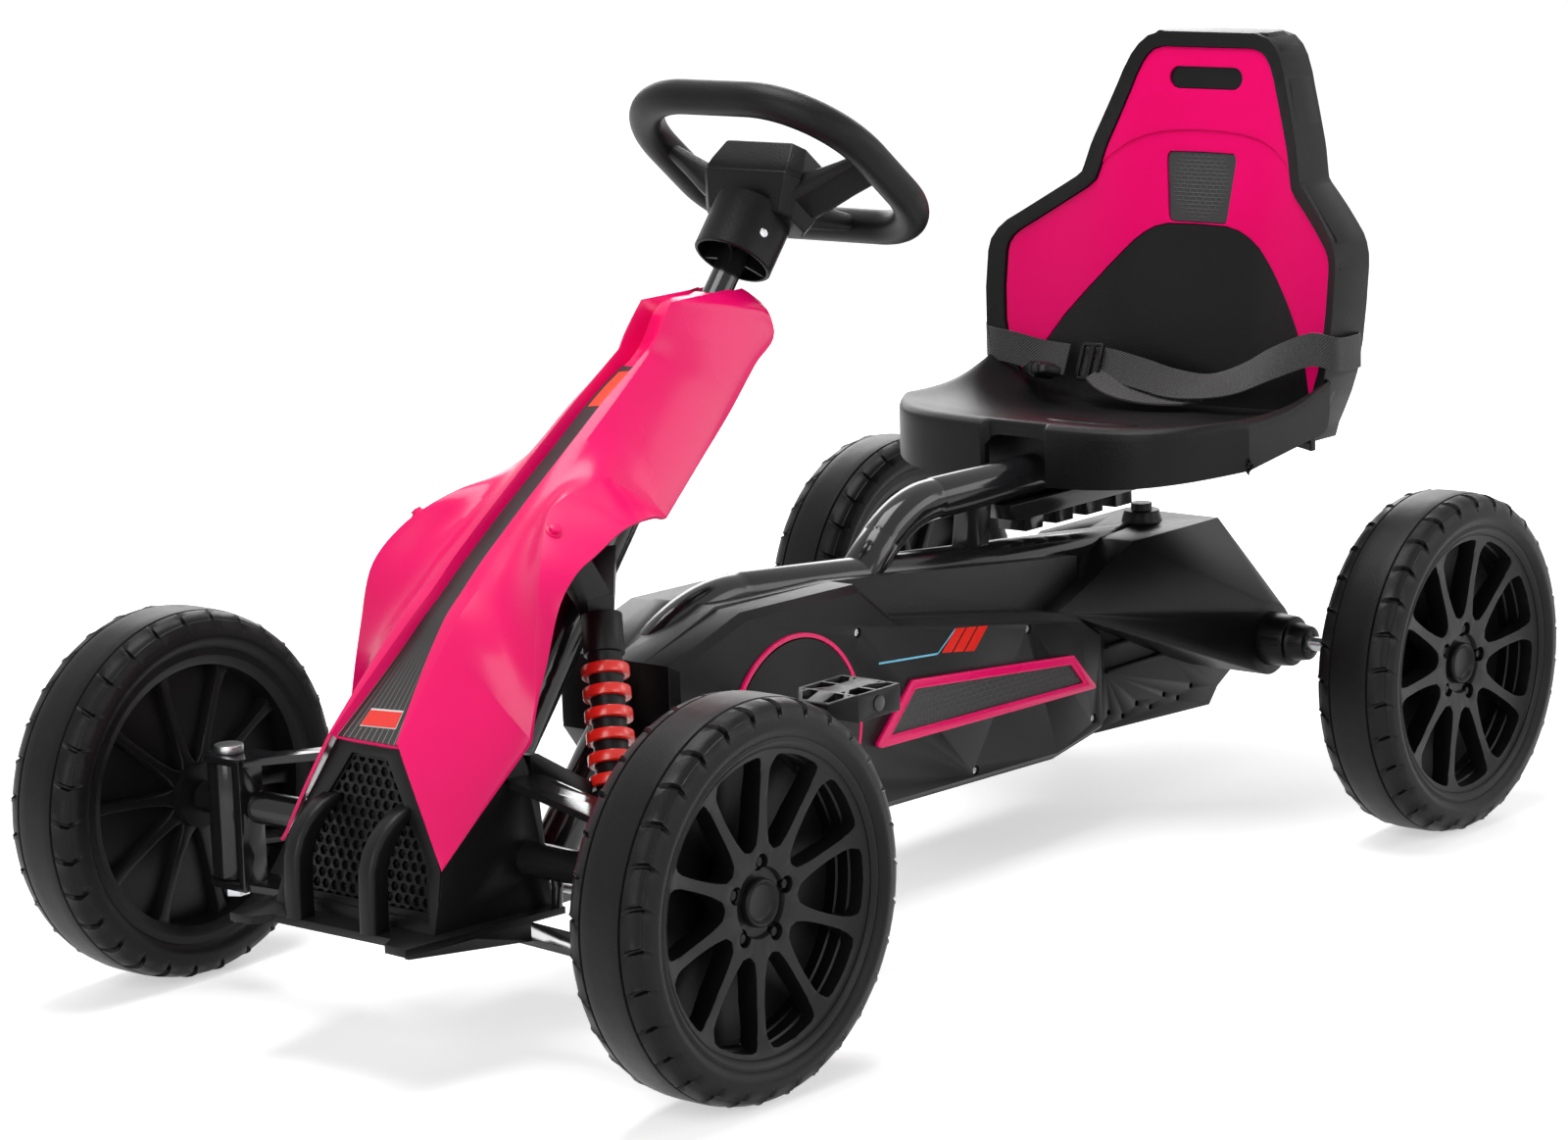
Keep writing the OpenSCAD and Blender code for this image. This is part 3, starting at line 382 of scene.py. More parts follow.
deselect()
bpy.ops.mesh.primitive_plane_add(size=60, location=(0, 0, 0))
floor = bpy.context.object
floor.name = "floor"
paper = bpy.data.materials.new("floor_paper")
paper.use_nodes = True
tree = paper.node_tree
base = tree.nodes["Principled BSDF"]
base.inputs["Base Color"].default_value = (0.93, 0.93, 0.93, 1)
base.inputs["Roughness"].default_value = 0.9
away = add_node(tree, "VectorMath", {"operation": "LENGTH"},
                Vector=add_node(tree, "TexCoord").outputs["Object"])
rise = add_node(tree, "MapRange", Value=away.outputs["Value"],
                From_Min=0.5, From_Max=2.6, To_Min=0.50, To_Max=0.95)
glow = add_node(tree, "Emission",
                Strength=math_node(tree, "MULTIPLY", seen_rays(tree), rise.outputs["Result"]))
total = add_node(tree, "AddShader")
tree.links.new(base.outputs[0], total.inputs[0])
tree.links.new(glow.outputs[0], total.inputs[1])
tree.links.new(total.outputs[0], tree.nodes["Material Output"].inputs["Surface"])
floor.data.materials.append(paper)
print("floor", tuple(floor.dimensions))

# %% [markdown]
# Moulded plastic is never one flat colour: the tool's spark-eroded texture breaks up its
# highlights, and its tone drifts a little from flow and handling. Both come from one
# node group, "moulded surface", that every finish uses with its own values: Tone is a
# slow mask for colour and roughness, Normal carries the fine grain.

# %% Node group: moulded surface
def new_group(name, inputs, outputs):
    tree = bpy.data.node_groups.new(name, "ShaderNodeTree")
    for label, value in inputs:
        socket = tree.interface.new_socket(label, in_out="INPUT", socket_type="NodeSocketFloat")
        socket.default_value = value
    for label, kind in outputs:
        tree.interface.new_socket(label, in_out="OUTPUT", socket_type=kind)
    return tree, tree.nodes.new("NodeGroupInput").outputs, tree.nodes.new("NodeGroupOutput").inputs


surface, given, result = new_group(
    "moulded surface", [("Grain size", 900.0), ("Grain height", 0.15), ("Drift size", 9.0)],
    [("Tone", "NodeSocketFloat"), ("Normal", "NodeSocketVector")])
where = add_node(surface, "TexCoord").outputs["Object"]
drift = add_node(surface, "TexNoise", Vector=where, Scale=given["Drift size"], Detail=3)
spread = add_node(surface, "MapRange", Value=drift.outputs["Fac"], From_Min=0.35, From_Max=0.65)
grain = add_node(surface, "TexVoronoi", Vector=where, Scale=given["Grain size"])
relief = add_node(surface, "Bump", Strength=given["Grain height"], Distance=0.0004,
                  Height=grain.outputs["Distance"])
surface.links.new(spread.outputs["Result"], result["Tone"])
surface.links.new(relief.outputs["Normal"], result["Normal"])
print("group:", surface.name)


# %% [markdown]
# A finish is then a Principled BSDF fed by that group: the tone mixes two near colours
# and moves the roughness between two values. What is the same all over, such as the
# clear coat on the glossy panels, is set straight on the shader.

# %% Finishes
def finish(name, dark, light, rough, grain_size, grain_height, **constants):
    material = bpy.data.materials.new(name)
    material.use_nodes = True
    tree = material.node_tree
    group = add_node(tree, "Group", {"node_tree": surface},
                     Grain_size=grain_size, Grain_height=grain_height)
    tone = group.outputs["Tone"]
    colour = add_node(tree, "Mix", {"data_type": "RGBA"}, A=(*dark, 1), B=(*light, 1), Factor=tone)
    roughness = add_node(tree, "MapRange", Value=tone, To_Min=rough[0], To_Max=rough[1])
    values = {"Base Color": colour.outputs["Result"], "Roughness": roughness.outputs["Result"],
              "Normal": group.outputs["Normal"], **constants}
    for label, value in values.items():
        feed(tree, tree.nodes["Principled BSDF"].inputs[label.replace("_", " ")], value)
    return material


pink = finish("pink_gloss", (0.80, 0.002, 0.125), (0.85, 0.003, 0.138), (0.24, 0.32), 260, 0.02,
              Coat_Weight=0.08, Coat_Roughness=0.10, Specular_IOR_Level=0.28)
black = finish("black_plastic", (0.005, 0.005, 0.0055), (0.008, 0.008, 0.0085), (0.28, 0.36),
               1500, 0.22, Specular_IOR_Level=0.16)
grained = finish("black_grained_plastic", (0.006, 0.006, 0.0065), (0.009, 0.009, 0.0095),
                 (0.34, 0.42), 900, 0.40, Specular_IOR_Level=0.14)
paint = finish("frame_paint", (0.010, 0.010, 0.011), (0.011, 0.011, 0.012), (0.11, 0.17), 420, 0.05,
               Coat_Weight=0.15, Coat_Roughness=0.12, Specular_IOR_Level=0.3)
zinc = finish("zinc_plate", (0.50, 0.51, 0.53), (0.62, 0.63, 0.64), (0.25, 0.40), 700, 0.10,
              Metallic=1.0)
rubber = finish("foam_rubber", (0.004, 0.004, 0.0045), (0.007, 0.007, 0.0075), (0.30, 0.40),
                1150, 0.38, Specular_IOR_Level=0.14)
satin = finish("pink_satin", (0.92, 0.0015, 0.150), (0.96, 0.002, 0.165), (0.36, 0.44), 400, 0.05,
               Specular_IOR_Level=0.1)
red = finish("red_gloss", (0.78, 0.018, 0.010), (0.84, 0.022, 0.013), (0.22, 0.30), 260, 0.03,
             Coat_Weight=0.2)
print("finishes:", [m.name for m in bpy.data.materials])

# %% [markdown]
# The foam tyres have a smooth band in the middle and a row of blocks on each shoulder.
# The blocks are parted by crescent grooves, and a fine slit runs round them. The tyre is
# a grid bent into a ring: its rows follow the cross-section, and its columns bow along
# the crescents, so that few faces give clean grooves.

# %% Tyre
BAND = [(140, 0), (140, 8), (139.8, 13), (139.3, 16.2), (137.7, 16.9), (137.7, 17.8)]
BLOCKS = [(139.0, 18.6), (138.3, 22), (136.9, 26), (134.8, 29.4), (133.2, 30.2), (132.6, 31.0),
          (132.7, 31.7), (129.5, 33.8), (126.4, 35.0)]
WALL = [(123.6, 35.2), (121.5, 35.9), (118.8, 35.4), (116, 34), (113.6, 32.2), (112.2, 30.2)]
BEAD = [(112.2, 30.2), (106.5, 30), (106.5, -30), (112.2, -30.2)]
TREAD_PITCH = 12
# Each groove's columns: the place in shares of the pitch, and the share of the depth
CRESCENT = [(-0.075, 0), (-0.025, 1), (0.025, 1), (0.075, -0.42), (0.14, -0.05), (0.45, 0), (0.7, 0)]
GROOVE_DEEP, GROOVE_BOW = 3.3, 0.16


def tread_point(radius, y, along, spot, depth, side):
    """A point of the tyre; along runs from 0 to 1 over the blocks, and is None elsewhere"""
    bow = 0.0
    if along is not None:
        swell = math.sin(math.pi * along) ** 0.6
        bow = GROOVE_BOW * (1 - (2 * along - 1) ** 2)
        radius -= GROOVE_DEEP * depth * swell
        y -= 0.7 * depth * swell
    # The half pitch between the two sides leaves the middle row's points in step
    x, z = polar(radius, math.radians((spot + bow + (0.5 if side < 0 else 0)) * TREAD_PITCH))
    return (x, y * side, z)


def make_tyre():
    columns = [(block + at, depth) for block in range(360 // TREAD_PITCH) for at, depth in CRESCENT]
    half = ([(*p, None) for p in BAND] + [(*p, i / (len(BLOCKS) - 1)) for i, p in enumerate(BLOCKS)]
            + [(*p, None) for p in WALL])
    tyre = join(*[skin([[tread_point(*row, *column, side) for column in columns] for row in half],
                       caps=False) for side in (1, -1)])
    edit(tyre)
    bpy.ops.mesh.remove_doubles(threshold=1e-5)
    close_edit()
    bead = turned(BEAD)
    return smooth(join(outward(tyre), bead), 50)


tyre = make_tyre()
print("tyre", len(tyre.data.polygons), "faces")

# %% [markdown]
# The rim is one moulding: a dished face with ten windows, a barrel behind it, and a hub.
# The face is turned from its cross-section, and the windows are cut by prisms that leave
# the slim spokes standing. A bevel then rounds every window's lip. Behind the spokes a
# closed wall shuts the wheel, with a rib along each spoke on its inner side.

# %% Rim
SPOKES, BOLTS = 10, 5
SPOKE_HALF = [(34, 8.4), (40, 6.6), (50, 4.7), (64, 3.9), (80, 3.9), (90, 4.4), (97, 6.2), (101, 9.0)]
RIM_FACE = [(15, 17.5), (23.5, 17.5), (25, 21), (40, 21.6), (70, 21.8), (92, 23.2), (101, 26.0),
            (105.5, 27.6), (107.5, 30.6), (111.2, 32.4), (113.4, 31.9), (112.4, 29.6), (107.0, 27.0),
            (104, 20), (97, 9), (70, 5), (24, 4), (15, 4)]
BARREL = [(106.5, 28), (103.2, 24), (102.8, 15), (101.2, 14), (101.0, 5), (99.6, 4), (99.4, -4),
          (22, -11.5), (22, -15), (99, -9), (99.2, -27), (103, -29), (106.5, -30)]
RIM_HUB = [(6.2, -30), (24, -30), (24, 5), (6.2, 5)]
HUB_CAP = [(0.3, 19.4), (10.5, 19.4), (13.2, 20.6), (14.2, 23.0), (15.6, 23.6), (16.7, 22.8),
           (17.0, 20), (17.0, 16.5), (0.3, 16.5)]
# The inner ribs: radius, half width, and the y of the rib's root and back
RIB = [(23, 9, -12, -24), (30, 6, -11, -23), (48, 4.2, -10, -20.5), (80, 4, -8, -19),
       (93, 5, -6, -19.5), (100, 8, -6, -20)]


def spoke_half(radius):
    """Half the width of a spoke at a radius: flared at the hub and at the ring"""
    for (r0, w0), (r1, w1) in zip(SPOKE_HALF, SPOKE_HALF[1:]):
        if radius <= r1:
            return w0 + (w1 - w0) * (radius - r0) / (r1 - r0)
    return SPOKE_HALF[-1][1]


def window_outline():
    """The window between two spokes, as points of the rim's own plane"""
    half_pitch = math.pi / SPOKES
    half = [(r, half_pitch - math.asin(spoke_half(r) / r))
            for r in (37.5, 41, 46, 52, 62, 75, 88, 95, 99, 101)]
    half[0] = (38.2, half[0][1] * 0.45)
    half += [(102.2, half[-1][1] * k) for k in (0.8, 0.4)]
    outline = ([(r, -a) for r, a in half] + [(102.4, 0.0)] + [(r, a) for r, a in reversed(half)]
               + [(37.6, 0.0)])
    return [polar(r, a + half_pitch) for r, a in outline]


def bolt_rods(circle, y0, y1, radius, sides):
    """Rods along Y on the wheel's bolt circle"""
    places = [polar(circle, a) for a in turns(BOLTS, 0.5)]
    return [rod((x, y0, z), (x, y1, z), radius, sides) for x, z in places]


def make_rim():
    face = turned(RIM_FACE, 120)
    windows = [push(outline_face(window_outline(), lambda x, z: (
        x * math.cos(a) - z * math.sin(a), -4, x * math.sin(a) + z * math.cos(a))), (0, 40, 0))
        for a in turns(SPOKES)]
    cut(face, join(*windows))
    cut(face, join(*bolt_rods(27.6, 15, 30, 6.2, 24)))
    soften(face, 1.1, 35, 3)
    barrel = smooth(join(turned(BARREL), turned(RIM_HUB, 48)), 35)
    ribs = []
    for a in turns(SPOKES, 0.5):
        way, wide = Vector((math.cos(a), 0, math.sin(a))), Vector((-math.sin(a), 0, math.cos(a)))
        rows = [[way * r + wide * w * k + Vector((0, y, 0))
                 for k, y in ((-1, root), (1, root), (0.8, back), (-0.8, back))]
                for r, w, root, back in RIB]
        ribs.append(soften(skin(rows), 1.0, 40))
    cap = smooth(turned(HUB_CAP, 64), 50)
    bolts = [soften(bolt, 0.6, 30) for bolt in bolt_rods(28.0, 13, 19.2, 3.6, 6)]
    return join(face, barrel, cap, *bolts, *ribs)


rim = make_rim()
print("rim", len(rim.data.polygons), "faces")

# %% [markdown]
# The same tyre and rim serve all four corners. Each copy gets its own mesh; on the right
# the wheel is turned half round the vertical, so that its face still looks outwards.

# %% Four wheels
AXLE_Z = 140
# Each corner's x, y, body, and the degrees by which its wheel has rolled
WHEELS = {"front_left": (440, 278.5, "wheel_front_left", 14),
          "front_right": (440, -278.5, "wheel_front_right", 22),
          "rear_left": (-440, 287, "rear_wheels", 5), "rear_right": (-440, -287, "rear_wheels", 31)}
for corner, (x, y, body, rolled) in WHEELS.items():
    turn = (Matrix.Rotation(math.pi if y < 0 else 0, 4, "Z")
            @ Matrix.Rotation(math.radians(rolled), 4, "Y"))
    for master, kind, slot_name, material in ((tyre, "tyre", "tyre", rubber),
                                              (rim, "rim", "black_plastic", black)):
        piece = set_at(copy(master), (x, y, AXLE_Z), turn)
        fit(piece, f"{kind}_{corner}_finished", body, slot_name, material, f"{kind}_{corner}")
for master in (tyre, rim):
    bpy.data.objects.remove(master)

# %% [markdown]
# Hard parts of the frame keep their CAD form. Each is copied, merged and given a small
# bevel, and takes the paint, the plating or the plastic that it has on the real kart.

# %% Frame, mechanism and covers
DRESSED = [
    ("frame_paint", paint, 0.6, "spine_tube seat_tube front_frame column_housing steering_column"
                                " knuckle_left knuckle_right seat_rail"),
    ("frame_paint", black, 1.0, "shock_brackets"),
    ("zinc", zinc, 0.5, "kingpins tie_rod_left tie_rod_right rear_axle"),
    ("zinc", paint, 0.5, "crank"),
    ("black_plastic", black, 0.7, "nose splitter side_cover_left side_cover_right shocks"
                                  " axle_bushings pedal_left pedal_right grille"),
    ("black_plastic", black, 1.2, "rear_housing"),
    ("red_gloss", red, 1.0, "shock_coils")]
for slot_name, material, bevel, nodes in DRESSED:
    for node in nodes.split():
        dress(node, slot_name, material, bevel)

# %% [markdown]
# The hood is one glossy shell. Its form lies in a few long lines, given at seventeen
# stations from the nose to the steering column: the edge, a fold above it, the ridge
# beside the channel with its inner corner, and the channel's floor. Smooth curves run
# through the stations, except where a line turns a corner.

# %% Lines of the hood
HOOD_EDGE = [
    (521, 80, 148), (480, 85, 185), (436, 90, 223), (430, 91, 248), (421, 93, 275), (401, 95, 324),
    (388, 95, 336), (364, 92, 345), (328, 88, 358), (290, 80, 359), (252, 60, 350), (203, 52, 384),
    (161, 46, 414), (125, 42, 445), (100, 40, 466), (101, 37, 479), (98, 26, 488)]
HOOD_FOLD = [
    (520, 76, 154), (481, 81, 192), (437, 89, 226), (430.6, 89.5, 252), (424, 86, 289), (413, 82, 331),
    (392, 68, 358), (370, 54, 373), (330, 46, 382), (303, 47, 383), (256, 57, 358), (208, 49, 393),
    (168, 44, 423), (133, 40, 453), (109, 37.5, 473), (109, 34, 484), (103, 22, 493)]
HOOD_RIDGE = [
    (512, 34, 230), (482, 31, 262), (454, 28, 291), (438, 27, 306), (420, 26, 320), (401, 25, 336),
    (378, 24, 353), (352, 23, 371), (322, 22, 391), (292, 21, 411), (263, 20, 431), (240, 18, 446),
    (214, 16, 464), (206, 17, 474), (197, 16, 486), (187, 15, 498), (108, 14, 499)]
INNER_Y = [32, 24.1, 17.6, 14.8, 13.8, 13.7, 13.7, 13.5, 13.4, 13.3, 13.2, 13.4, 13.4, 15.0, 14.6, 14.0,
           13.0]
INNER_RISE = [0, 0.6, 0.7, 0.8, 1.0, 1.1, 1.3, 2.0, 2.8, 3.4, 3.4, 2.8, 1.6, 0.6, 0.3, 0, 0]
CHANNEL_DEEP = [6, 8.4, 9.3, 8.6, 8.6, 9.3, 9.6, 9.6, 10, 10.3, 10, 10, 13, 16, 16, 14, 6]
LAST = len(HOOD_EDGE) - 1
# The stations where a line turns a corner, and the last one before the ridge bends
CORNERS = {"edge": (2, 10), "fold": (2, 10), "ridge": (12, 15), "inner": (12, 15), "floor": (12,)}
BEND = 12
COLUMN_FACE = Vector((0.62, 0, 0.78))


def outwards(i):
    """The direction square to the ridge at a station, up and ahead"""
    if i >= BEND:
        return COLUMN_FACE
    a, b = Vector(HOOD_RIDGE[max(i - 1, 0)]), Vector(HOOD_RIDGE[i + 1])
    return Vector((b.z - a.z, 0, a.x - b.x)).normalized()


def curve_at(points, t, corners):
    """A point of the smooth line through the points; t counts stations"""
    i = min(int(t), len(points) - 2)
    spans = [(Vector(b) - Vector(a)) for a, b in zip(points, points[1:])]

    def slope(j, after):
        if j in corners or j == 0 or j == len(points) - 1:
            return spans[min(j, len(spans) - 1) if after or j == 0 else j - 1].normalized()
        a, b = spans[j - 1], spans[j]
        return (a.normalized() * b.length + b.normalized() * a.length) / (a.length + b.length)

    s, long = t - i, spans[i].length
    return (Vector(points[i]) * (2 * s ** 3 - 3 * s ** 2 + 1)
            + slope(i, True) * long * (s ** 3 - 2 * s ** 2 + s)
            + Vector(points[i + 1]) * (3 * s ** 2 - 2 * s ** 3)
            + slope(i + 1, False) * long * (s ** 3 - s ** 2))


INNER = [tuple(Vector((x, y, z)) + outwards(i) * rise) for i, ((x, _, z), y, rise) in
         enumerate(zip(HOOD_RIDGE, INNER_Y, INNER_RISE))]
FLOOR = [tuple(Vector((x, y - 0.2 * deep, z)) - outwards(i) * deep) for i, ((x, y, z), deep) in
         enumerate(zip(INNER, CHANNEL_DEEP))]
HOOD_LINES = {"edge": HOOD_EDGE, "fold": HOOD_FOLD, "ridge": HOOD_RIDGE, "inner": INNER, "floor": FLOOR}


def hood_line(kind, t):
    return curve_at(HOOD_LINES[kind], t, CORNERS[kind])


print("hood lines:", {kind: round(hood_line(kind, LAST / 2).z) for kind in HOOD_LINES})

# %% [markdown]
# Between the ridge and the fold lies the big face. It runs on evenly from the ridge and
# then flares out to the fold over the wheel, so its cross-section is a blend of two
# straight lines with a little swell. The other half is the mirror image.

# %% Hood skin
FLARE_START, FLARE_END, EVEN_PART = 3, 11, 0.6
ACROSS = (0.85, 0.68, 0.5, 0.32, 0.15)
STEPS = 6


def hood_row(t):
    """One cross-section of the hood, from its left edge over to its right edge"""
    edge, fold, ridge, inner, low = (hood_line(kind, t) for kind in HOOD_LINES)
    calm = fold
    if FLARE_START < t < FLARE_END:
        share = (t - FLARE_START) / (FLARE_END - FLARE_START)
        calm = Vector(HOOD_FOLD[FLARE_START]).lerp(Vector(HOOD_FOLD[FLARE_END]), share)
    even = (calm - ridge).normalized() * (fold - ridge).length
    swell = 1.2 + 2.8 * max(0, math.sin(math.pi * min(1, max(0, (t - 9.5) / 6.5))))
    face = []
    for s in ACROSS:
        flare = 1 - EVEN_PART * (1 - s * s * (3 - 2 * s))
        face.append(ridge + even * s * (1 - flare) + (fold - ridge) * s * flare
                    + Vector((0.45, 0.3, 0.6)) * swell * math.sin(math.pi * s))
    half = [edge, edge.lerp(fold, 0.5), fold, *face, ridge, inner, low,
            Vector((low.x, low.y * 0.5, low.z))]
    return half + [Vector((p.x, -p.y, p.z)) for p in reversed(half)]


hood = skin([hood_row(k / STEPS) for k in range(LAST * STEPS + 1)], closed=False)
print("hood skin", len(hood.data.polygons), "faces")

# %% [markdown]
# The skin becomes a moulding: the faces round the steering column go, the hole's edge is
# drawn out to a true circle, solidify gives a wall of under three millimetres, and a fine
# bevel runs along every sharp fold.

# %% Hood moulding
COLUMN_FOOT = Vector((119, 0, 494))
COLUMN_WAY = Vector((-math.cos(math.radians(50.5)), 0, math.sin(math.radians(50.5))))
HOLE_RADIUS, HOLE_ABOVE = 16.5, 0.44


def on_column(z):
    """The point of the steering column's axis at a height"""
    return COLUMN_FOOT + COLUMN_WAY * (z - COLUMN_FOOT.z) / COLUMN_WAY.z


def off_column(p):
    """The part of a point's place that lies square to the column's axis"""
    d = p / MM - COLUMN_FOOT
    return d - COLUMN_WAY * d.dot(COLUMN_WAY)


edit(hood, "DESELECT")
bpy.ops.mesh.select_mode(type="FACE")
close_edit()
for face in hood.data.polygons:
    face.select = off_column(face.center).length < HOLE_RADIUS - 1 and face.center.z > HOLE_ABOVE
bpy.ops.object.mode_set(mode="EDIT")
bpy.ops.mesh.delete(type="FACE")
close_edit()
for vertex in hood.data.vertices:
    away = off_column(vertex.co)
    if away.length < HOLE_RADIUS and vertex.co.z > HOLE_ABOVE:
        vertex.co += (away.normalized() * HOLE_RADIUS - away) * MM
thicken(hood, 2.6)
soften(hood, 0.9, 22, 3, 35)
fit(hood, "hood_finished", "chassis", "pink_gloss", pink, "hood")

# %% [markdown]
# A black strip lies in the hood's channel. Fine pale lines run up its lower third and
# fade out, which needs a pattern that follows the strip: its own UV map runs across in U
# and up in V, and a little arithmetic turns U into thin lines.

# %% Channel strip
STRIP_START, STRIP_END = 0.03, 11.75


def on_strip(v, u, lift=0.0):
    """A point on the strip at the share v of its length and u of its width"""
    low = hood_line("floor", STRIP_START + (STRIP_END - STRIP_START) * v)
    return Vector((low.x, -low.y, low.z)).lerp(low, u) + COLUMN_FACE * (1.0 + lift)


def uv_parts(tree):
    """The U and V of the piece's own map"""
    parts = add_node(tree, "SeparateXYZ", Vector=add_node(tree, "UVMap").outputs["UV"])
    return parts.outputs["X"], parts.outputs["Y"]


def tint(material, share, colour):
    """Lays a second colour over a finish where the share is one"""
    tree = material.node_tree
    socket = tree.nodes["Principled BSDF"].inputs["Base Color"]
    over = add_node(tree, "Mix", {"data_type": "RGBA"}, A=socket.links[0].from_socket,
                    B=(*colour, 1), Factor=share)
    tree.links.new(over.outputs["Result"], socket)


strip = skin([[on_strip(k / 72, j / 8) for j in range(9)] for k in range(73)], closed=False)
smooth(thicken(strip, 1.2), 40)
striped = finish("strip_print", (0.011, 0.011, 0.012), (0.015, 0.015, 0.016), (0.30, 0.38), 500, 0.04)
tree = striped.node_tree
u, v = uv_parts(tree)
line = math_node(tree, "LESS_THAN", math_node(tree, "FRACT", math_node(tree, "MULTIPLY", u, 11)), 0.10)
fade = math_node(tree, "SUBTRACT", 1.0, math_node(tree, "MULTIPLY", v, 5.5), clamp=True)
tint(striped, math_node(tree, "MULTIPLY", line, math_node(tree, "MULTIPLY", fade, 0.55)),
     (0.55, 0.52, 0.45))
fit(strip, "channel_strip", "chassis", "black_plastic", striped, "hood_strip")

# %% [markdown]
# Two small foil pieces sit on the strip: an orange-red parallelogram near the top, and a
# plain red label with pale edges at the bottom. Both are thin sheets laid on the strip.

# %% Foils on the strip
def foil(name, v0, v1, u0, u1, lean, lift, slot_name, material):
    """A sheet between two shares of the strip's length and width; lean slants its ends"""
    shares = [k / 6 for k in range(7)]
    rows = [[on_strip(v0 + (v1 - v0) * b + lean * (a - 0.5), u0 + (u1 - u0) * a, lift)
             for a in shares] for b in shares]
    fit(thicken(skin(rows, closed=False), 0.4), name, "chassis", slot_name, material)


pale = finish("pale_print", (0.62, 0.60, 0.58), (0.70, 0.68, 0.66), (0.3, 0.4), 500, 0.02)
orange = finish("orange_foil", (0.85, 0.06, 0.02), (0.90, 0.075, 0.03), (0.25, 0.35), 400, 0.02)
foil("strip_patch", 0.865, 0.985, 0.14, 0.97, 0.012, 0.3, "red_gloss", orange)
foil("label_edge", 0.022, 0.052, 0.24, 0.84, 0.004, 0.3, "black_plastic", pale)
foil("label", 0.0235, 0.0485, 0.25, 0.83, 0.004, 0.7, "red_gloss", red)

# %% [markdown]
# Two bent bars protect the nose. Their section is a bar with well rounded corners, drawn
# up before the mesh and bent back into it at the top, so each is a skin through a row of
# rings.

# %% Nose bars
# Along the bar: x, z and half the depth of its section
BAR = [(546.5, 104, 9.5), (546.3, 125, 9.5), (545, 147, 9.6), (541, 158, 9.2), (535.5, 165.5, 8.6),
       (529, 172, 7.6), (521, 178, 6.2), (514, 181.5, 4.8), (507, 184, 3.6)]
BAR_Y, BAR_HALF = 37, 8


def ring(centre, ahead, deep, round_by):
    """A rounded rectangle round a centre, across the bar and ahead"""
    points = []
    for sx, sy, start in ((1, 1, 0), (-1, 1, 90), (-1, -1, 180), (1, -1, 270)):
        for k in range(5):
            du, dv = polar(round_by, math.radians(start + 90 * k / 4))
            points.append(centre + Vector((0, sx * (BAR_HALF - round_by) + du, 0))
                          + ahead * (sy * (deep - round_by) + dv))
    return points


def bar_rings(side):
    rings = []
    for i, (x, z, deep) in enumerate(BAR):
        a, b = BAR[max(i - 1, 0)], BAR[min(i + 1, len(BAR) - 1)]
        ahead = Vector((b[0] - a[0], 0, b[1] - a[1])).normalized().cross(Vector((0, 1, 0)))
        rings.append(ring(Vector((x, side * BAR_Y, z)), ahead, deep, min(5, deep * 0.9)))
    return rings


bars = join(*[smooth(skin(bar_rings(side)), 40) for side in (1, -1)])
fit(bars, "nose_bars", "chassis", "black_plastic", black, "bumper_posts")

# %% [markdown]
# The steering wheel is a padded ring in the shape of a rounded box, flatter towards the
# driver. A torus gives its rings of points; each ring is moved to its place on that
# line. A parting groove runs round the ring, where the two halves of the moulding meet.

# %% Steering wheel ring
TILT = math.radians(39.5)
WHEEL_AHEAD = Vector((math.cos(TILT), 0, math.sin(TILT)))
WHEEL_UP = Vector((-math.sin(TILT), 0, math.cos(TILT)))
WHEEL_MIDDLE = on_column(586.8)
HALF_WIDE, HALF_LONG, FRONT_ROUND, REAR_ROUND = 103, 86, 73, 54
MAJOR, MINOR, GRIP, PARTING = 144, 32, 14, 5


def on_wheel(u, y, n):
    """A point in the wheel's own directions: u forwards in its plane, n out of it"""
    return WHEEL_MIDDLE + WHEEL_AHEAD * u + Vector((0, y, 0)) + WHEEL_UP * n


def wheel_line():
    """Evenly spaced points and their outward directions on the ring's middle line"""
    front_u, front_y = HALF_LONG - FRONT_ROUND, HALF_WIDE - FRONT_ROUND
    rear_u, rear_y = -HALF_LONG + REAR_ROUND, HALF_WIDE - REAR_ROUND
    line = []
    for u, y, radius, start in ((front_u, front_y, FRONT_ROUND, 0), (rear_u, rear_y, REAR_ROUND, 90),
                                (rear_u, -rear_y, REAR_ROUND, 180), (front_u, -front_y, FRONT_ROUND, 270)):
        for k in range(33):
            du, dy = polar(radius, math.radians(start + 90 * k / 32))
            line.append((u + du, y + dy))
    line.append(line[0])
    lengths = [0.0]
    for a, b in zip(line, line[1:]):
        lengths.append(lengths[-1] + math.dist(a, b))
    out = []
    for k in range(MAJOR):
        goal = lengths[-1] * k / MAJOR
        i = max(j for j, length in enumerate(lengths) if length <= goal)
        share = (goal - lengths[i]) / max(lengths[i + 1] - lengths[i], 1e-9)
        du, dy = line[i + 1][0] - line[i][0], line[i + 1][1] - line[i][1]
        long = math.hypot(du, dy)
        out.append((line[i][0] + du * share, line[i][1] + dy * share, dy / long, -du / long))
    return out


grip_points = []
for u, y, out_u, out_y in wheel_line():
    for j, a in enumerate(turns(MINOR)):
        flat = 1 - 0.09 * max(0, -math.sin(a)) ** 2 - 0.05 * max(0, -math.cos(a)) ** 3
        d, n = polar(GRIP * flat - (0.9 if j == PARTING else 0), a)
        grip_points.append(on_wheel(u + out_u * d + 3, y + out_y * d, n - 3))
deselect()
bpy.ops.mesh.primitive_torus_add(major_segments=MAJOR, minor_segments=MINOR, major_radius=0.1,
                                 minor_radius=GRIP * MM)
grip = smooth(outward(added(grip_points)), 30)
print("grip", len(grip.data.polygons), "faces")

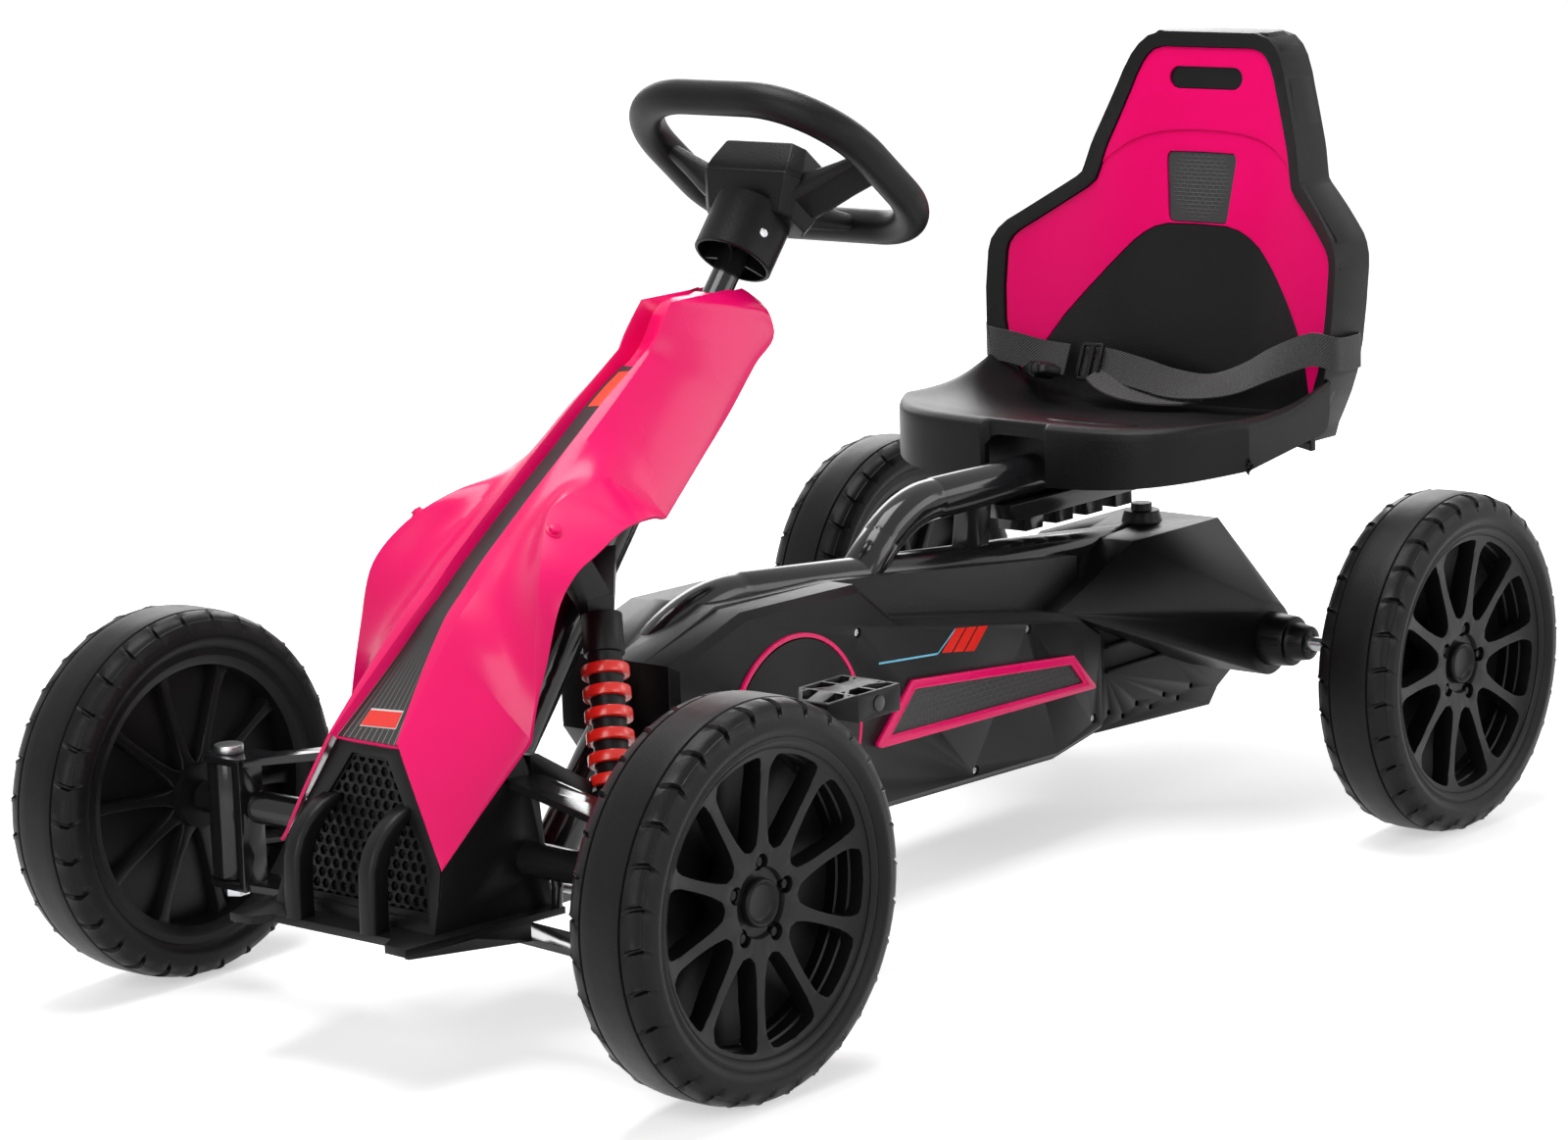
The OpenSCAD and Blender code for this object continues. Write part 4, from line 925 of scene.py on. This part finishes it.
# %% [markdown]
# The hub is a chamfered block that narrows down to a collar round the column. Two side
# arms and a broad one towards the driver join it to the ring. Each is a skin through
# eight-cornered sections, so it has the flat faces and cut corners of the moulding.

# %% Steering wheel hub and arms
# Height out of the wheel's plane, reach ahead and behind, half width, corner
HUB = [(-52, 11, 23, 41, 8), (-50.5, 12.5, 24, 42.5, 8), (-31, 25, 27, 47, 9), (-26.2, 28, 28, 48, 9),
       (-25.1, 27.1, 27.1, 47.1, 9), (-24, 28, 28, 48, 9), (-17, 28, 27.4, 46.8, 9),
       (0, 26.5, 24.5, 40.5, 8), (2, 24.5, 22.5, 38, 8)]
# Place along the arm, its two sides, its under and upper face, corner
SIDE_ARM = [(38, -22, 16, -44, -16, 6), (56, -19, 18, -34, -11, 6), (76, -15, 19.5, -21, -4.5, 5),
            (92, -12, 21.5, -12, 0.5, 4), (101, -11, 22, -9, 3.5, 3)]
REAR_ARM = [(-20, -26, 26, -46, -16, 6), (-40, -27.5, 27.5, -34, -11, 6),
            (-60, -30.5, 30.5, -22, -4.5, 5), (-77, -34, 34, -11, 2, 4), (-85, -36, 36, -9, 4, 3)]
COLLAR = [(-62, 11.2), (-62, 28.2), (-90, 28.2), (-90, 29.8), (-89, 31), (-50, 31), (-44, 31),
          (-44, 11.2)]


def eight(place, a0, a1, b0, b1, c):
    """A section with corners cut by c; place(a, b) gives a point in space"""
    return [place(a, b) for a, b in (
        (a0 + c, b0), (a1 - c, b0), (a1, b0 + c), (a1, b1 - c),
        (a1 - c, b1), (a0 + c, b1), (a0, b1 - c), (a0, b0 + c))]


def arm(stops, place):
    """An arm through its sections; place(along, side, height) gives a point in space"""
    rows = [eight(lambda a, b: place(along, a, b), *section) for along, *section in stops]
    return soften(skin(rows), 1.6, 15, 3, 50)


hub = soften(skin([eight(lambda u, y: on_wheel(u, y, n), -behind, ahead, -half, half, corner)
                   for n, ahead, behind, half, corner in HUB]), 1.6, 12, 3, 50)
arms = [arm(SIDE_ARM, lambda y, u, n: on_wheel(u, side * y, n)) for side in (1, -1)]
arms.append(arm(REAR_ARM, on_wheel))
collar = smooth(skin([[on_wheel(*polar(radius, a), n) for a in turns(64)] for n, radius in COLLAR],
                     caps=False), 40)
ribs = []
for a in turns(3):
    way, wide = Vector(polar(1, a + 0.5)), Vector(polar(1, a + 0.5 + math.pi / 2))
    ribs.append(skin([[on_wheel(*(way * r + wide * w), n)
                       for r, w in ((11.5, -1.2), (28.5, -1.2), (28.5, 1.2), (11.5, 1.2))]
                      for n in (-88.5, -60)]))
fit(join(grip, hub, *arms, collar, *ribs), "steering_wheel_finished", "steering", "black_plastic",
    grained, "steering_wheel")

# %% [markdown]
# Screws hold the mouldings together. Each is a shallow domed head with a cross recess,
# made once at the origin and copied to every place with its head turned outwards.

# %% Screws
def screw_head(radius):
    deselect()
    bpy.ops.mesh.primitive_cylinder_add(vertices=24, radius=radius * MM, depth=2.2 * MM)
    head = soften(bpy.context.object, radius * 0.28, 60, 3)
    for turn in (0, math.pi / 2):
        deselect()
        bpy.ops.mesh.primitive_cube_add(size=1)
        blade = Matrix.Diagonal((radius * 1.1 * MM, radius * 0.26 * MM, 1.6 * MM, 1))
        cut(head, set_at(bpy.context.object, (0, 0, 1.4), Matrix.Rotation(turn, 4, "Z") @ blade))
    return smooth(head, 30)


def screw(master, name, place, way, body):
    turn = Vector(way).to_track_quat("Z", "Y").to_matrix().to_4x4()
    fit(set_at(copy(master), place, turn), name, body, "zinc", zinc)


collar_way = (WHEEL_AHEAD * 0.35 + Vector((0, 1, 0)) * 0.94).normalized()
head = screw_head(3.6)
for k, way in enumerate((collar_way, -collar_way)):
    screw(head, f"collar_screw_{k}", on_wheel(0, 0, -70) + way * 30.6, way, "steering")
bpy.data.objects.remove(head)

# %% [markdown]
# The seat back is a dished shell with a dark raised border, pink panels laid into it, a
# black lower panel, and a small vent. All of them follow one curved surface. Each is a
# slab of that surface, cut to its own outline by a prism, so that the seams fit exactly.

# %% Seat back surface
# Corners of the left half, as (y, z) from the lowest point up
BACK_HALF = [(146, 306), (150, 318), (158, 332), (166, 347), (173, 364), (178, 390), (180, 420), (180, 452),
             (178.5, 462), (174, 471), (168, 478), (140, 498.5), (117, 515), (113, 519), (111.5, 524),
             (107, 542), (104, 551), (87, 596), (83.5, 606), (77, 620), (70.5, 629), (62, 636), (48, 640)]
SLAB_STEPS = 44


def back_x(y, z):
    return (-518 - (z - 476) * math.tan(math.radians(8))
            + 42 * (max(0, abs(y) - 60) / 102) ** 1.6)


def inset(outline, d):
    """The outline drawn in by d; its points run anticlockwise"""
    out = []
    for before, point, after in zip(outline[-1:] + outline[:-1], outline, outline[1:] + outline[:1]):
        a, b = Vector(point) - Vector(before), Vector(after) - Vector(point)
        na, nb = Vector((-a.y, a.x)).normalized(), Vector((-b.y, b.x)).normalized()
        step = (na + nb) * d / (1 + na.dot(nb))
        out.append((point[0] + step.x, point[1] + step.y))
    return out


def whole(half):
    """Both halves of an outline that is given from its lowest point up, on the left side"""
    return list(half) + [(-y, z) for y, z in reversed(half) if y > 0.01]


def prism(outline):
    """A block through the seat back, from behind it to well in front"""
    return push(outline_face(outline, lambda y, z: (-700, y, z)), (400, 0, 0))


def slab(outline, ahead, thick):
    """A piece of the seat back's surface, set ahead of it and cut to an outline"""
    shares = [k / SLAB_STEPS for k in range(SLAB_STEPS + 1)]
    rows = [[(back_x(y, z) + ahead, y, z) for y in (-184 + 368 * k for k in shares)]
            for z in (300 + 346 * k for k in shares)]
    return cut(thicken(skin(rows, closed=False), thick, (1, 0, 0)), prism(outline), "INTERSECT")


back_outline = whole(BACK_HALF)
border = slab(back_outline, 7, 42.5)
cut(border, slab(inset(back_outline, 12.5), 14, 62))
soften(border, 3.2, 50, 3, 40)
fit(border, "back_border", "chassis", "black_plastic", grained)

# %% [markdown]
# Inside the border lie the panels. The head panel stands a little proud of the lower one
# along an arched step, and a pill-shaped window near its top is left blank.

# %% Seat back panels
PAD_HALF = [(155, 300), (151, 326), (146, 345), (136, 371), (121, 396), (104, 418), (88, 437), (76, 450),
            (66, 460), (55, 468), (44, 473.5), (30, 476.8), (0, 477.5)]
VENT_HALF = [(26, 478), (29, 479), (30.5, 482), (36, 530), (35.5, 535), (33, 538), (0, 538.6)]
ARCH_HALF = [(108, 515), (100, 524), (90, 534), (76, 544), (60, 551), (42, 555), (20, 557), (0, 557.5)]
ABOVE_ARCH = ([(200, 515), (200, 700), (-200, 700), (-200, 515)]
              + [(-y, z) for y, z in ARCH_HALF[:-1]] + ARCH_HALF[::-1])
WINDOW_Z, SEAM = 601, 0.7


def pill(half, tall):
    """The head window's outline, with a half circle at each end"""
    ends = [polar(tall, math.radians(-90 + 18 * k)) for k in range(11)]
    right = [(half - tall + y, WINDOW_Z + z) for y, z in ends]
    return right + [(-y, 2 * WINDOW_Z - z) for y, z in right]


panel_outline = inset(back_outline, 13.3)
lower, head = slab(panel_outline, 3.8, 7), slab(panel_outline, 5.2, 7)
cut(head, prism(ABOVE_ARCH), "INTERSECT")
cut(head, prism(pill(38, 9.5)))
for hole in (whole(PAD_HALF), whole(VENT_HALF), pill(38, 9.5)):
    cut(lower, prism(hole))
for part, width in ((lower, 1.2), (head, 1.0)):
    soften(part, width, 50, 3, 40)
fit(join(head, lower), "back_panels", "chassis", "pink_gloss", satin, "seat_panel")
pad = soften(slab(inset(whole(PAD_HALF), SEAM), 3.0, 6), 1.0, 50)
fit(pad, "lower_pad", "chassis", "black_plastic", grained)
window = smooth(slab(pill(37.4, 8.9), 2.6, 4))
fit(window, "head_window", "chassis", "black_plastic", black)

# %% [markdown]
# The vent's insert is pressed with rows of small flattened cells that fade out towards
# its ends. They are too fine to model one by one, so a brick pattern, whose rows are
# offset by half, gives both their tone and their relief; a second node group holds it,
# because the inserts on the chain covers have the same cells.

# %% Node group: pressed cells
cells, given, result = new_group(
    "pressed cells", [("Across", 0.0), ("Up", 0.0), ("Cell size", 0.008), ("Fade", 1.0)],
    [("Cell", "NodeSocketFloat")])
place = add_node(cells, "CombineXYZ", X=math_node(cells, "DIVIDE", given["Across"], given["Cell size"]),
                 Y=math_node(cells, "DIVIDE", given["Up"], given["Cell size"]))
brick = add_node(cells, "TexBrick", Vector=place.outputs[0], Scale=1.0, Mortar_Size=0.09,
                 Mortar_Smooth=0.6, Brick_Width=1.0, Row_Height=0.5)
cells.links.new(math_node(cells, "MULTIPLY", brick.outputs["Fac"], given["Fade"]), result["Cell"])
print("group:", cells.name)

# %% [markdown]
# A finish with cells is the plain black plastic with that pattern laid over it. The
# pattern fades with the distance from a middle, measured in shares of its reach.

# %% Cells on a finish
def emboss(material, height, distance, strength):
    """Adds relief on top of a finish's own grain"""
    tree = material.node_tree
    socket = tree.nodes["Principled BSDF"].inputs["Normal"]
    bump = add_node(tree, "Bump", Height=height, Distance=distance, Strength=strength,
                    Normal=socket.links[0].from_socket)
    tree.links.new(bump.outputs["Normal"], socket)


def celled(name, across, size, middle, reach, light):
    """Black plastic with pressed cells; across is X or Y of the object, and Z runs up"""
    material = finish(name, (0.012, 0.012, 0.013), (0.016, 0.016, 0.017), (0.40, 0.46), 1500, 0.2)
    tree = material.node_tree
    axes = add_node(tree, "SeparateXYZ", Vector=add_node(tree, "TexCoord").outputs["Object"]).outputs
    far = []
    for axis, centre, span in zip((axes[across], axes["Z"]), middle, reach):
        off = math_node(tree, "ABSOLUTE", math_node(tree, "SUBTRACT", axis, centre))
        far.append(math_node(tree, "POWER", math_node(tree, "DIVIDE", off, span), 2))
    fade = math_node(tree, "SUBTRACT", 1.15, math_node(tree, "ADD", *far), clamp=True)
    group = add_node(tree, "Group", {"node_tree": cells}, Across=axes[across], Up=axes["Z"],
                     Cell_size=size, Fade=fade)
    tint(material, group.outputs["Cell"], light)
    emboss(material, group.outputs["Cell"], 0.0008, 0.8)
    return material


vent_cells = celled("vent_cells", "Y", 0.0068, (0.0, 0.514), (0.030, 0.034), (0.06, 0.06, 0.062))
vent = soften(slab(inset(whole(VENT_HALF), SEAM), 2.6, 4), 0.8, 50)
fit(vent, "vent_insert", "chassis", "black_plastic", vent_cells, "seat_inserts")
dress("seat_back", "black_plastic", grained, 0.5, 35)

# %% [markdown]
# The pan is one moulded shell: a shallow hollow for the thighs, raised sides, a rolled
# front lip, and a skirt that hides the tube. Its grid runs from hem to hem across, and
# from the rear edge to the front hem; subdivision rounds the lip.

# %% Seat pan
PAN_HALF, NOTCH_HALF, PAN_REAR_Z = 176, 29, 330
PAN_Y = [176, 176, 170, 150, 120, 85, 55, 40, 33, 29, 0, -29, -33, -40, -55, -85, -120, -150, -170,
         -176, -176]
# Shares of the way from the front edge to the rear one
PAN_T = [1.0, 0.86, 0.7, 0.55, 0.4, 0.27, 0.16, 0.08, 0.03, 0.0]
WIDE = len(PAN_Y)
FRONT_ROW, SIDE_COLUMNS, NOTCH_COLUMNS = len(PAN_T) - 1, (1, WIDE - 2), (8, 9, 11, 12)
ARCH = [(-31, 280), (31, 280), (31, 322), (27, 329), (20, 331), (-20, 331), (-27, 329), (-31, 322)]


def pan_front(s):
    return -244 - 12 * s * s - 74 * abs(s) ** 6


def pan_rear(y):
    return back_x(y, PAN_REAR_Z) - 4


def pan_top(s, t):
    return 346 - 22 * math.sin(math.radians(90 * min(1, 1.2 * t))) + (2 + 44 * t) * abs(s) ** 5


def pan_point(j, t, hem=False):
    """The point of column j at the share t; the outer columns and the last row are hems"""
    y = PAN_Y[j]
    s = y / PAN_HALF
    x = (1 - t) * pan_front(s) + t * pan_rear(y) - (7 if abs(y) <= NOTCH_HALF and t < 0.02 else 0)
    if hem or j in (0, WIDE - 1):
        return (x, y, 292 + 13 * abs(s) ** 3 + 16 * t)
    return (x, y, pan_top(s, t) - (7 if t == 0 or abs(y) == PAN_HALF else 0))


def crease(piece, chosen, weight):
    """Creases every edge that is chosen by the (row, column) of its two ends"""
    data = piece.data.attributes
    layer = data.get("crease_edge") or data.new("crease_edge", "FLOAT", "EDGE")
    for line in piece.data.edges:
        if chosen(*(divmod(end, WIDE) for end in line.vertices)):
            layer.data[line.index].value = weight


pan_rows = [[pan_point(j, t) for j in range(WIDE)] for t in PAN_T]
pan_rows.append([pan_point(j, 0.0, hem=True) for j in range(WIDE)])
pan = skin(pan_rows, closed=False)
crease(pan, lambda a, b: a[1] == b[1] and a[1] in NOTCH_COLUMNS and min(a[0], b[0]) >= 7, 0.75)
crease(pan, lambda a, b: a[0] == b[0] == FRONT_ROW, 0.45)
crease(pan, lambda a, b: a[1] == b[1] and a[1] in SIDE_COLUMNS, 0.45)
modify(pan, "SUBSURF", levels=3, render_levels=3)
thicken(pan, 3.6)
cut(pan, push(outline_face(ARCH, lambda y, z: (-292, y, z)), (80, 0, 0)))
soften(pan, 0.8, 50, 2, 30)
fit(pan, "seat_pan_finished", "chassis", "black_plastic", grained, "seat_pan")

# %% [markdown]
# Under the pan's front a plain apron closes the gap round the end of the seat tube, so
# that no daylight shows between the pan and the frame.

# %% Apron under the pan
APRON = [(-62, 300), (-54, 288), (54, 288), (62, 300), (62, 334), (56, 338), (-56, 338), (-62, 334)]
apron = soften(push(outline_face(APRON, lambda y, z: (-272, y, z)), (-3, 0, 0)), 0.8, 50)
fit(apron, "pan_boot", "chassis", "black_plastic", grained)

# %% [markdown]
# A low oval boss marks the middle of the pan. It is left plain: rings of points on the
# pan's own surface, squeezed to an oval and stepped up to a rim.

# %% Oval boss
BOSS_X, BOSS_Y, BOSS_LONG, BOSS_WIDE = -322, 27, 26, 45


def on_pan(x, y, above):
    """The point of the pan's upper surface at x and y, and a little above it"""
    s = y / PAN_HALF
    return (x, y, pan_top(s, (x - pan_front(s)) / (pan_rear(y) - pan_front(s))) + above)


boss = skin([[on_pan(BOSS_X + BOSS_LONG * size * math.cos(a), BOSS_Y + BOSS_WIDE * size * math.sin(a), above)
              for a in turns(48)]
             for size, above in ((1.0, 0.0), (0.94, 1.3), (0.84, 1.3), (0.80, 0.7), (0.3, 0.7))])
fit(smooth(boss, 40), "oval_boss", "chassis", "black_plastic", black)

# %% [markdown]
# The belt is 28 mm webbing. Each strap is laid directly along its line as a strip of
# faces and given the webbing's thickness, and its length is printed. The strips' UV maps
# run across and along the cloth for the weave, which is the product of two sine waves,
# and gives both the tone and the relief.

# %% Belt
BELT_WIDTH, BELT_THICK, BELT_COLUMNS, WEAVE_PITCH = 28, 1.6, 7, 2.6
# Points of each strap's middle line, with the direction across the webbing
BELT_LEFT = [
    ((-511, 130, 384), (0, 0, 1)), ((-500, 160, 384), (0, 0, 1)), ((-489, 180, 384), (0, 0, 1)),
    ((-478, 184, 384), (0, 0, 1)), ((-458, 184, 384), (0, 0, 1)), ((-447, 180, 386), (0, 0, 1)),
    ((-444, 160, 388), (0, 0, 1)), ((-446, 122, 374), (-0.2, 0, 1)), ((-457, 80, 356), (-0.5, 0, 0.8)),
    ((-462, 41, 346), (-0.7, 0, 0.6)), ((-464, 6, 346), (-0.6, 0, 0.7)), ((-464, -26, 352), (-0.5, 0, 0.8)),
    ((-462, -59, 358), (-0.4, 0, 0.9)), ((-460, -84, 360), (-0.4, 0, 0.9))]
BELT_RIGHT = [
    ((-458, -100, 360), (-0.4, 0, 0.9)), ((-456, -126, 362), (-0.3, 0, 0.9)),
    ((-450, -152, 368), (-0.1, 0, 1)), ((-447, -176, 372), (0, 0, 1)), ((-458, -184, 376), (0, 0, 1)),
    ((-478, -184, 378), (0, 0, 1)), ((-489, -180, 380), (0, 0, 1)), ((-500, -160, 380), (0, 0, 1)),
    ((-511, -130, 380), (0, 0, 1))]
BELT_TAIL = [
    ((-452, -66, 352), (-1, 0, 0.25)), ((-446, -52, 345), (-1, 0, 0.2)), ((-444, -34, 338), (-1, 0, 0.1)),
    ((-446, -14, 334), (-1, 0, 0.05)), ((-452, 8, 331.5), (-1, 0.1, 0.0)),
    ((-461, 30, 331.5), (-1, 0.2, 0.0))]


def spline(points, steps=6):
    """Catmull-Rom curve through points that may have any number of coordinates"""
    out = []
    for i in range(len(points) - 1):
        p = [points[max(0, min(len(points) - 1, i + k))] for k in (-1, 0, 1, 2)]
        for t in (s / steps for s in range(steps)):
            out.append(tuple(0.5 * (2 * b + (c - a) * t + (2 * a - 5 * b + 4 * c - d) * t * t
                                    + (3 * b - a - 3 * c + d) * t ** 3) for a, b, c, d in zip(*p)))
    return out + [tuple(points[-1])]


webbing = finish("webbing", (0.008, 0.008, 0.0085), (0.008, 0.008, 0.0085), (0.72, 0.80), 900, 0.0,
                 Sheen_Weight=0.25, Sheen_Roughness=0.5)
tree = webbing.node_tree
u, v = uv_parts(tree)
weave = math_node(tree, "MULTIPLY",
                  math_node(tree, "SINE", math_node(tree, "MULTIPLY", u, 2 * math.pi * 10)),
                  math_node(tree, "SINE", math_node(tree, "MULTIPLY", v, 2 * math.pi)))
tint(webbing, math_node(tree, "MULTIPLY", math_node(tree, "ADD", weave, 1.0), 0.5, clamp=True),
     (0.030, 0.030, 0.031))
emboss(webbing, weave, 0.0006, 0.9)


def strap(name, line):
    path = spline([(*p, *Vector(w).normalized()) for p, w in line])
    shares = [k / (BELT_COLUMNS - 1) for k in range(BELT_COLUMNS)]
    piece = skin([[Vector(q[:3]) + Vector(q[3:]).normalized() * BELT_WIDTH * (share - 0.5)
                   for share in shares] for q in path], closed=False)
    gone = [0.0]
    for a, b in zip(path, path[1:]):
        gone.append(gone[-1] + (Vector(a[:3]) - Vector(b[:3])).length)
    layer = piece.data.uv_layers[0]
    for loop in piece.data.loops:
        row, column = divmod(loop.vertex_index, BELT_COLUMNS)
        layer.data[loop.index].uv = (shares[column], gone[row] / WEAVE_PITCH)
    modify(piece, "SOLIDIFY", thickness=BELT_THICK * MM, offset=0)
    fit(smooth(piece, 60), name, "chassis", "webbing", webbing)
    print(name, "is", round(gone[-1], 1), "mm long")
    return piece


belt = strap("belt_left", BELT_LEFT)
strap("belt_right", BELT_RIGHT)
strap("belt_tail", BELT_TAIL)
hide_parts("belt")

# %% [markdown]
# A side-release buckle closes the belt. It is made flat at the origin, as bars through
# sections with cut corners, and then turned into its place on the pan. Slots are cut
# through it where the webbing is threaded.

# %% Buckle
CLASP = [(-17, 8.2, 5), (-14, 10, 6.6), (-3, 10, 7), (9, 9.4, 7), (14, 9.8, 6.4), (17, 8.6, 5)]


def box_along(sections, bevel):
    """A bar along Y through (y, half width, half height) sections"""
    rows = [eight(lambda a, b: (a, y, b), -w, w, -h, h, min(w, h) * 0.35) for y, w, h in sections]
    return soften(skin(rows), bevel, 25)


def cut_slot(piece, x0, x1, y0, y1):
    """A four-sided slot right through a flat piece"""
    corners = [(x0, y0), (x1, y0), (x1, y1), (x0, y1)]
    return cut(piece, push(outline_face(corners, lambda x, y: (x, y, -9)), (0, 0, 18)))


clasp = box_along(CLASP, 0.8)
for side in (1, -1):
    cut(clasp, rod((side * 12, 3, -10), (side * 12, 3, 10), 6.0))
cut(clasp, rod((0, -9, 6.2), (0, -9, 9), 4.0))
prongs = [set_at(box_along([(-4, 1.4, 3.4), (2, 1.9, 4.2), (10, 1.4, 3.6)], 0.5), (side * 7.2, 0, 0))
          for side in (1, -1)]
tongue = cut_slot(box_along([(14, 7.6, 4.2), (24, 8, 5), (34, 7.4, 3.6)], 0.7), -5.4, 5.4, 26, 30)
tail = cut_slot(box_along([(-36, 6.4, 3.4), (-27, 7, 5), (-16, 7, 5.2)], 0.7), -4.6, 4.6, -32, -28)
buckle = join(clasp, *prongs, tongue, tail)
set_at(buckle, (-436, -112, 353), Matrix.Rotation(math.radians(-38), 4, "Z")
       @ Matrix.Rotation(math.radians(-14), 4, "Y") @ Matrix.Rotation(math.radians(8), 4, "X"))
fit(buckle, "buckle_finished", "chassis", "black_plastic", black, "buckle")

# %% [markdown]
# A ladder lock shortens the left strap: a flat plate with two slots. It is turned by
# three directions, across the webbing, along it and out of it.

# %% Ladder lock
lock = push(outline_face(eight(lambda a, b: (a, b), -17, 17, -11, 11, 2),
                         lambda a, b: (a, b, -1.8)), (0, 0, 3.6))
for near, far in ((-8, -2.2), (2.2, 8)):
    cut_slot(lock, -14, 14, near, far)
soften(lock, 0.8)
width, along = Vector((-0.4, 0, 0.9)).normalized(), Vector((-0.1, 1, 0)).normalized()
facing = width.cross(along).normalized()
set_at(lock, (-455.5, -74, 360), Matrix((width, along, facing)).transposed().to_4x4())
fit(lock, "ladder_lock", "chassis", "black_plastic", black)

# %% [markdown]
# Each chain cover carries a pink ring round the crank and a pink frame round an insert
# with pressed cells. Both are cut from flat plates and mirrored to the other side.

# %% Trim on the chain covers
COVER_Y = 60
CRANK_AT = (115, 0, 160)
TRIM_FRAME = [(-27, 176), (-239, 156), (-268, 126), (-268, 122.6), (14, 129.5), (19, 131.5), (19, 134)]
TRIM_INSIDE = inset([(-27, 176), (-239, 156), (-270, 122.4), (20, 130.6)], 7.5)
TRIM_RING = [(75, -1), (78.5, -1), (78.5, 3), (75, 3)]


def plate(outline, low, high):
    """A flat plate on the left cover, between two heights above it"""
    return push(outline_face(outline, lambda x, z: (x, COVER_Y + low, z)), (0, high - low, 0))


def mirrored(piece):
    """The piece and its mirror image across the centre plane, as one"""
    return modify(piece, "MIRROR", use_axis=(False, True, False), use_mirror_merge=False)


frame_trim = cut(plate(TRIM_FRAME, -1, 3.6), plate(TRIM_INSIDE, -3, 6))
soften(frame_trim, 1.2, 30, 3)
ring_trim = turned([(radius, COVER_Y + y) for radius, y in TRIM_RING])
soften(set_at(ring_trim, CRANK_AT), 0.8, 30, 3)
fit(mirrored(join(frame_trim, ring_trim)), "side_trim_finished", "chassis", "pink_gloss", pink, "side_trim")
insert_cells = celled("insert_cells", "X", 0.0085, (-0.125, 0.146), (0.16, 0.06), (0.030, 0.030, 0.032))
fit(mirrored(plate(TRIM_INSIDE, -1, 1.2)), "cover_inserts", "chassis", "black_plastic", insert_cells,
    "side_inserts")

# %% [markdown]
# A thin light-blue line and three red slanted bars lie on each cover above the frame, as
# foils a third of a millimetre thick. The covers' five screws sit in their recesses.

# %% Foils and screws on the chain covers
FOIL = 0.35
LINE = [(11.9, 195.4), (-62.0, 189.4), (-86.7, 206.2)]
BARS = [(-67.1, 190.0), (-85.4, 206.4), (-128.7, 200.9), (-110.0, 183.6)]
COVER_SCREWS = [(36, 225), (-182, 188), (-268, 97), (-108, 86), (18, 102)]
blue = finish("blue_foil", (0.16, 0.52, 0.72), (0.18, 0.55, 0.75), (0.35, 0.45), 400, 0.02)
(x0, z0), (x1, z1), (x2, z2) = LINE
line_foil = join(plate([(x0, z0), (x1, z1), (x1 - 0.4, z1 + 1.5), (x0 - 0.4, z0 + 1.5)], 0, FOIL),
                 plate([(x1, z1), (x2, z2), (x2 + 1.6, z2), (x1 + 1.6, z1)], 0, FOIL))
fit(mirrored(line_foil), "cover_line", "chassis", "pink_gloss", blue)
near_low, near_high, far_high, far_low = (Vector(p) for p in BARS)
cover_bars = [plate([near_low.lerp(far_low, k + 0.01), near_high.lerp(far_high, k + 0.01),
                     near_high.lerp(far_high, k + 0.30), near_low.lerp(far_low, k + 0.30)], 0, FOIL)
              for k in (0, 0.34, 0.68)]
fit(mirrored(join(*cover_bars)), "cover_bars", "chassis", "red_gloss", red)
head = screw_head(3.4)
for k, (x, z) in enumerate(COVER_SCREWS):
    for side, mark in ((1, "l"), (-1, "r")):
        screw(head, f"cover_screw_{k}_{mark}", (x, side * 57.4, z), (0, side, 0), "chassis")
bpy.data.objects.remove(head)

# %% [markdown]
# Behind the mesh a dark plate closes the nose, and a slim frame borders it. Both lean
# back with the mesh, so their outlines are drawn across and up its plane.

# %% Mesh backing and nose frame
LEAN = math.radians(9.9)
BACKING = [(-70, 3), (70, 3), (70, 44), (23, 122), (-23, 122), (-70, 44)]
NOSE_FRAME = [(-77, 0), (77, 0), (77, 44), (32, 125), (-32, 125), (-77, 44)]
MOUTH = [(-67, 11), (67, 11), (63, 43), (17, 113), (-17, 113), (-63, 43)]


def leaning(outline, behind, thick):
    """A plate that lies behind the front of the mesh and reaches further back"""
    return push(outline_face(outline, lambda y, up: (
        530 - up * math.sin(LEAN) - behind * math.cos(LEAN), y,
        104 + up * math.cos(LEAN) - behind * math.sin(LEAN))), (-thick, 0, 0))


matt = finish("matt_backing", (0.004, 0.004, 0.004), (0.006, 0.006, 0.006), (0.7, 0.8), 500, 0.1)
fit(leaning(BACKING, 12, 1.5), "mesh_backing", "chassis", "black_plastic", matt)
nose_frame = soften(cut(leaning(NOSE_FRAME, 3, 3), leaning(MOUTH, -10, 30)), 0.8, 40)
fit(nose_frame, "nose_frame", "chassis", "black_plastic", black)

# %% [markdown]
# Two pink hexagon bolts with washers hold the wings of the hood. Their place and their
# direction come from the hood's own lines, so they stand square on the wing.

# %% Hood bolts
BOLT_AT, BOLT_SHARE = 6.55, 0.8
edge, fold, later = hood_line("edge", BOLT_AT), hood_line("fold", BOLT_AT), hood_line("fold", BOLT_AT + 0.3)
bolt_place, bolt_way = edge.lerp(fold, BOLT_SHARE), (later - fold).cross(fold - edge).normalized()
bolt_way *= math.copysign(1, bolt_way.z)
for side, mark in ((1, "left"), (-1, "right")):
    place, way = (Vector((v.x, v.y * side, v.z)) for v in (bolt_place, bolt_way))
    bolt = join(soften(rod(place - way * 4, place + way * 0.9, 6.4, 32), 0.5, 40),
                soften(rod(place - way, place + way * 4.0, 4.6, 6), 0.6))
    fit(bolt, f"hood_bolt_{mark}", "chassis", "pink_gloss", pink)


# %% Leave nothing selected
deselect()
